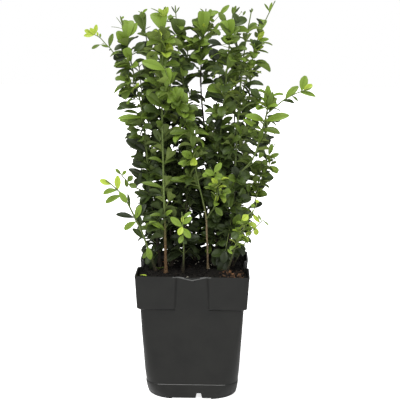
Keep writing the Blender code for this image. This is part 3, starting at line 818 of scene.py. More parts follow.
# A fork's parent and the height at which it leaves it, then the limb itself
Fork = collections.namedtuple("Fork", "parent height limb")
FORKS = {
    "front_fork": Fork("front_middle", 240, Limb(
        [(22.5, -29, 250), (27, -40, 258.5), (31, -52, 273), (33, -61, 291), (29, -67, 306), (22, -70, 318)],
        1.3, 0.6, [(262, 318)], 16.5, 0.5, 17, 12,
    )),
    "right_middle": Fork("right", 402, Limb(
        [(59.8, -19, 413), (66, -16, 472), (74, -10, 519)], 1.4, 0.8, [(430, 519)], 16, 0.2, 22, 34,
    )),
    "right_outer": Fork("right", 396, Limb(
        [(64, -11, 412), (74, 0, 444), (83, 7, 479), (93, 10, 504), (105, 10, 529)],
        1.3, 0.6, [(422, 529)], 18.5, 0.2, 21, 50,
    )),
    "right_spray_base": Fork("right", 296, Limb(
        [(78, -29, 324), (88, -37, 358), (95, -42, 388), (98, -44, 418)],
        1.5, 1.2, [(326, 418)], 18, 0.1, 20, 14,
    )),
    "right_low_spray": Fork("right_rear", 236, Limb(
        [(82, 12, 256), (88, 15, 285), (98, 20, 314), (110, 24, 338)],
        1.2, 0.6, [(258, 338)], 16.5, 0.1, 20, 26,
    )),
    "upper_left_spray": Fork("left", 436, Limb(
        [(-105.5, -11.8, 458.5), (-110.7, -10, 465), (-118, -4, 471), (-127, 4, 479.5), (-137, 12, 484)]
        + [(-148, 19, 488)],
        1.0, 0.5, [(464, 488)], 8.8, 1.6, 0, 0,
    )),
    "small_left_spray": Fork("left", 270, Limb(
        [(-85, -25, 286), (-88.5, -30, 292), (-94, -37, 300), (-99, -41, 307)],
        1.2, 0.9, [(292, 307)], 6.2, 0.6, 0, 0,
    )),
    "right_spray": Fork("right_spray_base", 384, Limb(
        [(112, -51.5, 400.5), (119, -57, 406.3), (131, -67, 413.5), (141, -74, 418), (148, -78, 421)],
        1.3, 0.9, [(404, 421)], 11.5, 1.1, 0, 0,
    )),
}
PATH_STEPS = 6


def smooth_path(points):
    """A curve through the points: between two of them, a cubic whose slope at each point
    runs along the line between its two neighbours."""
    knots = np.array(points, float) * MM
    knots = np.concatenate([[2 * knots[0] - knots[1]], knots, [2 * knots[-1] - knots[-2]]])
    a, b, c, d = (knots[i : len(knots) - 3 + i, None] for i in range(4))
    t = (np.arange(PATH_STEPS) / PATH_STEPS)[None, :, None]
    curve = 0.5 * (2 * b + (c - a) * t + (2 * a - 5 * b + 4 * c - d) * t**2 + (3 * b - a - 3 * c + d) * t**3)
    return np.concatenate([curve.reshape(-1, 3), knots[-2:-1]])


def at_height(path, height):
    """The point of a rising path at one height."""
    x, y = (np.interp(height, path[:, 2], path[:, axis]) for axis in (0, 1))
    return np.array([x, y, height])


paths = {}
for name, limb in UPRIGHT.items():
    x, y = limb.path[0]
    ground = soil_height(x * MM, y * MM) / MM - 1.0
    paths[name] = smooth_path([(x, y, ground), *limb.path[1:]])
for name, fork in FORKS.items():
    start = at_height(paths[fork.parent], fork.height * MM)
    paths[name] = smooth_path([start / MM, *fork.limb.path])
limbs = UPRIGHT | {name: fork.limb for name, fork in FORKS.items()}
print("limbs:", len(paths), "longest, mm:", round(max(p[-1, 2] for p in paths.values()) / MM))

# %% [markdown]
# ## Bark
# Old stems have thin bark with fine ridges along them; young shoots are green and
# four-cornered. The colour turns from bark to green as the stem gets thinner, so each point
# carries its youth as a number, and the finish reads it. One stem in front is brown and one
# is tan; the bark of those behind is painted near black, as painted shade, and the slender one's green is
# darkened the same way.

# %% Bark


def bark_finish(name, old_stops, young_stops):
    """Fine grain along the stem; the two colour ramps are mixed by the youth of each point."""
    material, nodes, links = new_material(name)
    shader = nodes["Principled BSDF"]
    grain = noise_node(nodes, links, 700.0, 5.0)
    old = ramp_node(nodes, links, grain.outputs["Fac"], old_stops)
    young = ramp_node(nodes, links, grain.outputs["Fac"], young_stops)
    age = nodes.new("ShaderNodeAttribute")
    age.attribute_name = "youth"
    mix = nodes.new("ShaderNodeMix")
    mix.data_type = "RGBA"
    links.new(age.outputs["Fac"], mix.inputs["Factor"])
    links.new(old.outputs["Color"], mix.inputs["A"])
    links.new(young.outputs["Color"], mix.inputs["B"])
    links.new(mix.outputs["Result"], shader.inputs["Base Color"])
    shader.inputs["Roughness"].default_value = 0.75
    shader.inputs["Specular IOR Level"].default_value = 0.25
    bump_node(nodes, links, shader, grain.outputs["Fac"], 0.5, 0.0004)
    return material


GREEN_BARK = [(0.30, (0.070, 0.100, 0.024)), (0.70, (0.150, 0.200, 0.058))]
# A green darkened as painted shade, for the slender stem inside the crown
SHADE_PAINTED_GREEN_BARK = [(0.30, (0.030, 0.042, 0.012)), (0.70, (0.070, 0.090, 0.026))]
BROWN = [(0.30, (0.040, 0.022, 0.010)), (0.52, (0.105, 0.060, 0.027)), (0.72, (0.200, 0.125, 0.060))]
TAN = [(0.30, (0.070, 0.050, 0.028)), (0.52, (0.190, 0.140, 0.078)), (0.72, (0.320, 0.255, 0.150))]
brown_bark = bark_finish("bark_brown", BROWN, GREEN_BARK)
tan_bark = bark_finish("bark_tan", TAN, GREEN_BARK)
# These stops paint shade: the old bark of the stems behind is painted near black for the shade it stands in
SHADE_PAINTED_OLD_BARK = [(0.30, (0.010, 0.008, 0.006)), (0.52, (0.026, 0.020, 0.014)), (0.72, (0.060, 0.046, 0.030))]
painted_shade_bark = bark_finish("bark_painted_shade", SHADE_PAINTED_OLD_BARK, SHADE_PAINTED_GREEN_BARK)
painted_shade_foot_bark = bark_finish("bark_painted_shade_foot", SHADE_PAINTED_OLD_BARK, GREEN_BARK)
BARK_OF = {"front_left": brown_bark, "front_middle": tan_bark, "slender": painted_shade_bark}
# How far up a stem its bark starts to turn green, in metres, and over what length
GREENS = {
    "front_left": (0.03, 0.07), "front_middle": (0.06, 0.05), "slender": (0.26, 0.05),
    "low_left": (0.0, 0.05), "low_right": (0.0, 0.05), "low_front": (0.0, 0.06),
    "low_right_front": (0.0, 0.06),
}
GREENS_ELSEWHERE = (0.05, 0.14)
LEAST_RADIUS = 0.60 * MM
YOUNG_THIN = 0.2  # the young part is thinner than an even taper by this share
RING_SPACING = 0.0028
STEM_SIDES = 12
FLARE_HEIGHT = 0.0060
FLARE_GAIN = 0.8


def lengths_along(path):
    return np.concatenate([[0.0], np.cumsum(np.linalg.norm(np.diff(path, axis=0), axis=1))])


def walk(path, stops):
    """Points at distances along a path, and the unit direction at each."""
    measured = lengths_along(path)

    def at(s):
        s = np.clip(s, 0.0, measured[-1])
        return np.stack([np.interp(s, measured, path[:, k]) for k in range(3)], axis=-1)

    heading = at(stops + 0.003) - at(stops - 0.003)
    return at(stops), heading / np.linalg.norm(heading, axis=-1, keepdims=True)


def cross_axes(heading):
    """Two directions square to each heading, the first as near to +X as can be."""
    lean = np.array([1.0, 0.0, 0.0]) - heading * heading[..., :1]
    first = lean / np.linalg.norm(lean, axis=-1, keepdims=True)
    return first, np.cross(heading, first)


def tube_mesh(name, centres, heading, radii):
    """A ring of points round each centre, at the radii given for every ring and side."""
    rows, sides = radii.shape
    first, second = cross_axes(heading)
    turn = np.arange(sides) * 2 * math.pi / sides
    spokes = first[:, None] * np.cos(turn)[None, :, None] + second[:, None] * np.sin(turn)[None, :, None]
    points = (centres[:, None] + spokes * radii[..., None]).reshape(-1, 3)
    here = np.arange(sides)
    ahead = (here + 1) % sides
    last = (rows - 1) * sides
    points = np.concatenate([points, [centres[0], centres[-1] + heading[-1] * radii[-1, 0]]])
    caps = [np.stack([np.full(sides, rows * sides), ahead, here], axis=-1)]
    caps.append(np.stack([np.full(sides, rows * sides + 1), last + here, last + ahead], axis=-1))
    return fill_mesh(name, points, grid_faces(rows, sides), np.concatenate(caps))


def make_limb(name, limb, path, in_soil, greens):
    """A tapering tube. Ridges run along it, drifting slowly round, and fade as it gets young;
    the cross-section then turns four-cornered. A limb in the soil flares at its foot."""
    length = lengths_along(path)[-1]
    stops = np.linspace(0.0, length, max(8, int(length / RING_SPACING)))
    centres, heading = walk(path, stops)
    share = stops / length
    radius = (limb.foot + (limb.tip - limb.foot) * share) * MM
    if in_soil:
        radius = radius * (1.0 + FLARE_GAIN * np.exp(-stops / FLARE_HEIGHT))
        youth = smooth_step((stops - greens[0]) / greens[1])
    else:
        youth = smooth_step(0.6 + share)
    turn = (np.arange(STEM_SIDES) * 2 * math.pi / STEM_SIDES)[None]
    drift = 60.0 * stops[:, None] + rng.uniform(0, 6)
    ridges = 0.07 * np.sin(3 * turn + drift) + 0.05 * np.sin(5 * turn - 1.7 * drift)
    knots = 0.05 * np.sin(420.0 * stops[:, None] + 2 * turn)
    square = 0.08 * np.cos(4 * turn)
    old = (1.0 - youth)[:, None]
    radius = np.maximum(radius * (1.0 - YOUNG_THIN * youth), LEAST_RADIUS)
    radii = radius[:, None] * (1.0 + old * (ridges + knots) + (1.0 - old) * square)
    mesh = tube_mesh(name, centres, heading, radii)
    values = np.concatenate([np.repeat(youth, STEM_SIDES), youth[:1], youth[-1:]])
    mesh.attributes.new("youth", "FLOAT", "POINT").data.foreach_set("value", values.astype(np.float32))
    return mesh


for name, limb in limbs.items():
    kind = "stem" if name in UPRIGHT else "bough"
    stands_for = [n for n in (f"stem_{name}", f"bough_{name}") if n in frame["nodes"]]
    greens = GREENS.get(name, GREENS_ELSEWHERE)
    mesh = make_limb(f"{kind}_{name}_bark", limb, paths[name], name in UPRIGHT, greens)
    finish_piece(f"{kind}_{name}_bark", mesh, [BARK_OF.get(name, painted_shade_foot_bark)], stands_for)
print("bark pieces:", len(limbs))

# %% [markdown]
# ## Leaf colours
# Boxwood leaves darken with age: the newest are lime, last year's are almost black green,
# and the underside is always paler and duller than the glossy top. Each age has one plain
# colour for each face of the leaf, and a spray takes its age from where it grows. The dark
# tones also stand for painted shade, given to leaves low, inside and at the back of the crown.

# %% Leaf colours
# Top and underside of the five ages; between two ages lies one more colour, their mean
AGE_AND_SHADE_TONES = (
    ("old", (0.0210, 0.0300, 0.0115), (0.040, 0.054, 0.021)),
    ("dark", (0.0420, 0.0660, 0.0150), (0.073, 0.102, 0.034)),
    ("grown", (0.0940, 0.1420, 0.0220), (0.140, 0.185, 0.048)),
    ("fresh", (0.1470, 0.2240, 0.0280), (0.205, 0.275, 0.062)),
    ("lime", (0.3200, 0.4150, 0.0460), (0.370, 0.455, 0.095)),
)
leaf_materials = []
for step in range(2 * len(AGE_AND_SHADE_TONES) - 1):
    young, old = AGE_AND_SHADE_TONES[(step + 1) // 2], AGE_AND_SHADE_TONES[step // 2]
    name = f"leaf_{old[0]}" if step % 2 == 0 else f"leaf_{old[0]}_to_{young[0]}"
    top_colour, under_colour = [(np.array(young[k]) + np.array(old[k])) / 2 for k in (1, 2)]
    leaf_materials.append(plain(f"{name}_top", top_colour, 0.42, 0.22))
    leaf_materials.append(plain(f"{name}_under", under_colour, 0.6, 0.12))
print("leaf colours:", len(leaf_materials))

# %% [markdown]
# ## One leaf
# A boxwood leaf is a small leathery oval, widest past its middle, blunt or slightly notched
# at the tip. It is folded a little along the midrib and arches back away from the stem.
# Each leaf is a closed skin of eight rings of six points: five across the glossy top, one
# under the midrib. All leaves of a mass are worked out together as one array.

# %% One leaf
# Place of each ring along the leaf, and its half width in an oval leaf and in a blunt,
# wedge-shaped one, as shares of length and half width
RING_AT = np.array([0.0, 0.055, 0.17, 0.34, 0.54, 0.74, 0.90, 0.975])
OVAL = np.array([0.09, 0.11, 0.44, 0.80, 1.00, 0.84, 0.45, 0.16])
BLUNT = np.array([0.08, 0.10, 0.28, 0.54, 0.80, 0.98, 0.97, 0.72])
TIP_AT = 0.982
# Across one ring: left edge, left blade, midrib, right blade, right edge, under the midrib
ACROSS = np.array([-1.0, -0.52, 0.0, 0.52, 1.0, 0.0])
BLADE_SWELL = np.array([0.0, 0.09, 0.0, 0.09, 0.0, 0.0])
THICK = np.array([0.0, 0.12, 0.10, 0.12, 0.0, -0.30]) * MM
POINTS_A_LEAF = len(RING_AT) * len(ACROSS) + 2

Leaf = collections.namedtuple("Leaf", "base along up length width bend fold twist tint blunt")


def leaf_points(leaves):
    """All points of all leaves, as an array of leaves by points by three.

    The midrib is an arc that starts along the leaf and bends back from its upper side. A
    ring's points lie across the arc: out by share times half width, up by the fold times
    that distance, and up again by the swell of the blade between midrib and edge.
    """
    def column(field):
        return np.array([getattr(leaf, field) for leaf in leaves], float)

    base, along, up = column("base"), column("along"), column("up")
    length, width, bend = column("length"), column("width"), column("bend")
    fold, twist = column("fold"), column("twist")
    side = np.cross(up, along)
    places = np.append(RING_AT, [0.0, TIP_AT])
    angle = bend[:, None] * places[None]
    safe = np.maximum(bend, 1e-3)[:, None]
    forward = length[:, None] * np.sin(angle) / safe
    down = length[:, None] * (1.0 - np.cos(angle)) / safe
    midrib = base[:, None] + along[:, None] * forward[..., None] - up[:, None] * down[..., None]
    outward = along[:, None] * np.sin(angle)[..., None] + up[:, None] * np.cos(angle)[..., None]
    roll = twist[:, None] * places[None]
    level = side[:, None] * np.cos(roll)[..., None] + outward * np.sin(roll)[..., None]
    rise = outward * np.cos(roll)[..., None] - side[:, None] * np.sin(roll)[..., None]
    blunt = column("blunt")[:, None]
    half = 0.5 * width[:, None] * (OVAL + (BLUNT - OVAL) * blunt)
    out = half[..., None] * ACROSS[None, None]
    lift = np.abs(out) * fold[:, None, None] + half[..., None] * BLADE_SWELL[None, None] + THICK[None, None]
    rings = len(RING_AT)
    across = level[:, :rings, None] * out[..., None]
    blade = midrib[:, :rings, None] + across + rise[:, :rings, None] * lift[..., None]
    count = len(leaves)
    return np.concatenate([blade.reshape(count, -1, 3), midrib[:, rings:]], axis=1)


def leaf_faces():
    """Quads and triangles of one leaf, and which of them belong to the underside."""
    rings, sides = len(RING_AT), len(ACROSS)
    quads = grid_faces(rings, sides)
    here = np.arange(sides)
    ahead = (here + 1) % sides
    last = (rings - 1) * sides
    stalk, tip = rings * sides, rings * sides + 1
    caps = [np.stack([np.full(sides, stalk), ahead, here], axis=-1)]
    caps.append(np.stack([np.full(sides, tip), last + here, last + ahead], axis=-1))
    under = np.tile(here >= 4, rings - 1), np.tile(here >= 4, 2)
    return quads, np.concatenate(caps), under


def make_leaves(name, leaves, replaces=()):
    """Join the leaves of one mass. The rim and the fold along the midrib are marked sharp,
    so that the two halves and the underside are lit apart."""
    points = leaf_points(leaves)
    quads, caps, under = leaf_faces()
    quads, caps = quads[:, ::-1], caps[:, ::-1]
    first = POINTS_A_LEAF * np.arange(len(leaves))[:, None, None]
    tint = np.array([round(2 * leaf.tint) for leaf in leaves])[:, None] * 2
    used = np.unique(np.concatenate([tint + 0, tint + 1]))
    slot_of = np.zeros(used.max() + 1, int)
    slot_of[used] = np.arange(len(used))
    faces = [slot_of[(tint + part[None]).reshape(-1)] for part in under]
    mesh = fill_mesh(
        name, points.reshape(-1, 3), (quads[None] + first).reshape(-1, 4),
        (caps[None] + first).reshape(-1, 3), np.concatenate(faces),
    )
    mesh.set_sharp_from_angle(angle=math.radians(30))
    return finish_piece(name, mesh, [leaf_materials[i] for i in used], replaces)


print("points in a leaf:", POINTS_A_LEAF, "faces:", len(leaf_faces()[0]) + len(leaf_faces()[1]))

# %% [markdown]
# ## The growing rule
# Up each shoot stand pairs of leaves, one on each side, and every pair is a quarter turn
# from the one below. Near the tip the pairs are small, close together and almost upright;
# further down they are full size and lean out, and the oldest hang level. From the angle
# between leaf and stem a short side twig may grow, which carries smaller leaves by the
# same rule. One seeded stream of chance moves every angle and size a little.

# %% The growing rule
LEAF_SHAPE = 0.55
GAP_FULL = 14.5 * MM
# Counted down from the tip: size of the pair, its angle from the stem, gap to the next
TIP_SIZES = (0.28, 0.50, 0.85, 1.0, 1.0)
TIP_ANGLES = (10, 20, 30, 38, 45)
TIP_GAPS = (3.0, 6.0, 9.5, 12.5, 14.0)
OLD_ANGLE = 63
ANGLE_FADE = 5  # pairs over which the angle nears that of old leaves
LOW_DROOP = 35  # the lowest leaves hang down by this much more
DROOP_FROM = 0.215
DROOP_FULL = 0.175
TWIG_CHANCES = (0.85, 0.33)
TWIG_ANGLE = 50
TWIG_LEAF = 0.88
TWIG_GAP = 10.0 * MM
LOW_CROWN = 0.28
# Low on the shoots that stand in front of this y few leaves face front, so their stems show
FRONT_SHOOTS = -0.028
OPEN_BELOW = 0.37
FRONT_TURN = -0.6
TWIG_REACH = 0.8
HIGH_CROWN = 0.45
FLUSH_CHANCE = 0.07
FLUSH_GAIN = 1.1
TWIG_RINGS = 5
TWIG_SIDES = 5

Twig = collections.namedtuple("Twig", "path foot tip youth")


def unit(v):
    return v / np.linalg.norm(v)


def node_stops(length, scale, count=0):
    """Distances of the leaf pairs from the top down, closer together at the tip. The count
    is how many pairs are already above."""
    stops = [0.0]
    while stops[-1] < length:
        gap = TIP_GAPS[count] * MM if count < len(TIP_GAPS) else GAP_FULL
        stops.append(stops[-1] + scale * gap * rng.uniform(0.85, 1.18))
        count += 1
    return np.array(stops[:-1])


def leaf_at(base, heading, away, rank, size, age):
    """One leaf of the pair that is so many pairs down from the tip."""
    tip_share = min(rank, len(TIP_SIZES) - 1)
    past_tip = max(rank - len(TIP_ANGLES) + 1, 0)
    angle = OLD_ANGLE + (TIP_ANGLES[tip_share] - OLD_ANGLE) * math.exp(-past_tip / ANGLE_FADE)
    angle += np.interp(base[2], (DROOP_FULL, DROOP_FROM), (LOW_DROOP, 0.0))
    angle = math.radians(angle + rng.normal(0, 12))
    along = heading * math.cos(angle) + away * math.sin(angle)
    up = heading * math.sin(angle) - away * math.cos(angle)
    swing = rng.normal(0, 0.30)
    side = np.cross(up, along)
    along = unit(along + swing * side)
    up = unit(np.cross(along, side) + rng.normal(0, 0.25) * side)
    up = unit(up - along * np.dot(up, along))
    full = size * TIP_SIZES[tip_share] * rng.uniform(0.86, 1.12)
    bend = min(0.30 + 0.26 * rank, 1.25) * rng.uniform(0.6, 1.3)
    tint = float(np.clip(age + rng.normal(0, 0.45), 0, len(AGE_AND_SHADE_TONES) - 1))
    return Leaf(
        base, along, up, full, full * LEAF_SHAPE * rng.uniform(0.9, 1.15),
        bend, rng.uniform(0.20, 0.50), rng.normal(0, 0.18), tint, rng.uniform(0.0, 0.6),
    )


def age_and_shade_tone(rank, youth):
    """The newest pairs are fresh, and every pair down is a step darker; a limb's youth below zero paints
    shade.
    """
    return 3.1 - 0.31 * rank**0.75 + youth


def grow_twig(base, heading, away, room, size, age):
    """A short side twig that curves upwards, with its own pairs of smaller leaves."""
    angle = math.radians(TWIG_ANGLE + rng.normal(0, 8))
    start = unit(heading * math.cos(angle) + away * math.sin(angle))
    end = unit(start + 0.9 * heading)
    length = room * rng.uniform(0.45, 1.0)
    t = np.linspace(0.0, 1.0, TWIG_RINGS)[:, None]
    path = base + length * (start * (t - 0.5 * t * t) + end * 0.5 * t * t)
    twigs = [Twig(path, rng.uniform(0.45, 0.6) * MM, 0.28 * MM, 1.0)]
    leaves = []
    stops = node_stops(length * 0.85, TWIG_GAP / GAP_FULL)
    measured = lengths_along(path)[-1]
    places, headings = walk(path, measured - stops)
    first, second = cross_axes(headings)
    phase = rng.uniform(0, 2 * math.pi)
    for rank, (place, ahead, a, b) in enumerate(zip(places, headings, first, second)):
        turn = phase + rank * math.pi / 2 + rng.normal(0, 0.2)
        outward = a * math.cos(turn) + b * math.sin(turn)
        for sign in (1, -1):
            leaves.append(leaf_at(place, ahead, outward * sign, rank + 1, size, age + 0.3))
    leaves.append(leaf_at(places[0], headings[0], outward, 0, size, age + 0.5))
    return leaves, twigs


def swell_of(low, high, height):
    """The share of a mass's full reach: fuller above the bottom, drawn in at the tip."""
    t = np.clip((height - low) / (high - low), 0.0, 1.0)
    return min(1.0, 0.85 + 2.4 * t) * (1.0 - 0.58 * max(0.0, (t - 0.62) / 0.38) ** 1.6)


def grow_shoot(limb, path, low, high, to_tip):
    """All leaves and twigs between two heights of one limb, from the top down. Twigs are
    common low on the plant and rare near its top, and the front of a front shoot is bare."""
    measured = lengths_along(path)
    start = np.interp(low, path[:, 2], measured)
    end = np.interp(high, path[:, 2], measured)
    skipped = 0
    if not to_tip or limb.clear:
        end = end - max(limb.clear * MM, GAP_FULL)
        skipped = 3 if to_tip else 5
    stops = node_stops(end - start, 1.0, skipped)
    places, headings = walk(path, end - stops)
    first, second = cross_axes(headings)
    phase = rng.uniform(0, 2 * math.pi)
    size = limb.leaf * MM
    leaves, twigs = [], []
    for order, (place, heading, a, b) in enumerate(zip(places, headings, first, second)):
        rank = order + skipped
        turn = phase + order * math.pi / 2 + rng.normal(0, 0.35)
        outward = a * math.cos(turn) + b * math.sin(turn)
        age = age_and_shade_tone(rank, limb.youth)
        reach = limb.reach * MM * swell_of(low, high, place[2])
        chance = np.interp(place[2], (LOW_CROWN, HIGH_CROWN), TWIG_CHANCES)
        open_front = place[1] < FRONT_SHOOTS and place[2] < OPEN_BELOW
        for sign in (1, -1):
            faces_front = open_front and outward[1] * sign < FRONT_TURN
            if rank < 8 or (rng.random() > 0.12 and not faces_front):
                leaves.append(leaf_at(place, heading, outward * sign, rank, size, age))
            if rank > 3 and not faces_front and rng.random() < chance:
                flush = FLUSH_GAIN if rng.random() < FLUSH_CHANCE else 0.0
                room, twig_leaf = TWIG_REACH * reach, size * TWIG_LEAF
                more, stalks = grow_twig(place, heading, outward * sign, room, twig_leaf, age + flush)
                leaves += more
                twigs += stalks
    return leaves, twigs


def make_twigs(name, twigs):
    """Thin tapering tubes with five sides, all worked out as one array."""
    path = np.array([twig.path for twig in twigs])
    heading = np.gradient(path, axis=1)
    heading = heading / np.linalg.norm(heading, axis=-1, keepdims=True)
    first, second = cross_axes(heading)
    foot = np.array([twig.foot for twig in twigs])[:, None]
    tip = np.array([twig.tip for twig in twigs])[:, None]
    radius = foot + (tip - foot) * np.linspace(0, 1, TWIG_RINGS)[None]
    turn = np.arange(TWIG_SIDES) * 2 * math.pi / TWIG_SIDES
    spokes = first[:, :, None] * np.cos(turn)[:, None] + second[:, :, None] * np.sin(turn)[:, None]
    rings = path[:, :, None] + spokes * radius[..., None, None]
    count, ring_points = len(twigs), TWIG_RINGS * TWIG_SIDES
    points = np.concatenate([rings.reshape(count, -1, 3), path[:, :1], path[:, -1:]], axis=1)
    here = np.arange(TWIG_SIDES)
    ahead = (here + 1) % TWIG_SIDES
    last = ring_points - TWIG_SIDES
    caps = np.concatenate([
        np.stack([np.full(TWIG_SIDES, ring_points), ahead, here], axis=-1),
        np.stack([np.full(TWIG_SIDES, ring_points + 1), last + here, last + ahead], axis=-1),
    ])
    step = (ring_points + 2) * np.arange(count)[:, None, None]
    quads = (grid_faces(TWIG_RINGS, TWIG_SIDES)[None] + step).reshape(-1, 4)
    mesh = fill_mesh(name, points.reshape(-1, 3), quads, (caps[None] + step).reshape(-1, 3))
    return finish_piece(name, mesh, [twig_green])


twig_green = plain("twig_green", (0.185, 0.240, 0.065), 0.6, 0.3)
print("twig angle, degrees:", TWIG_ANGLE, "chance low and high:", TWIG_CHANCES)
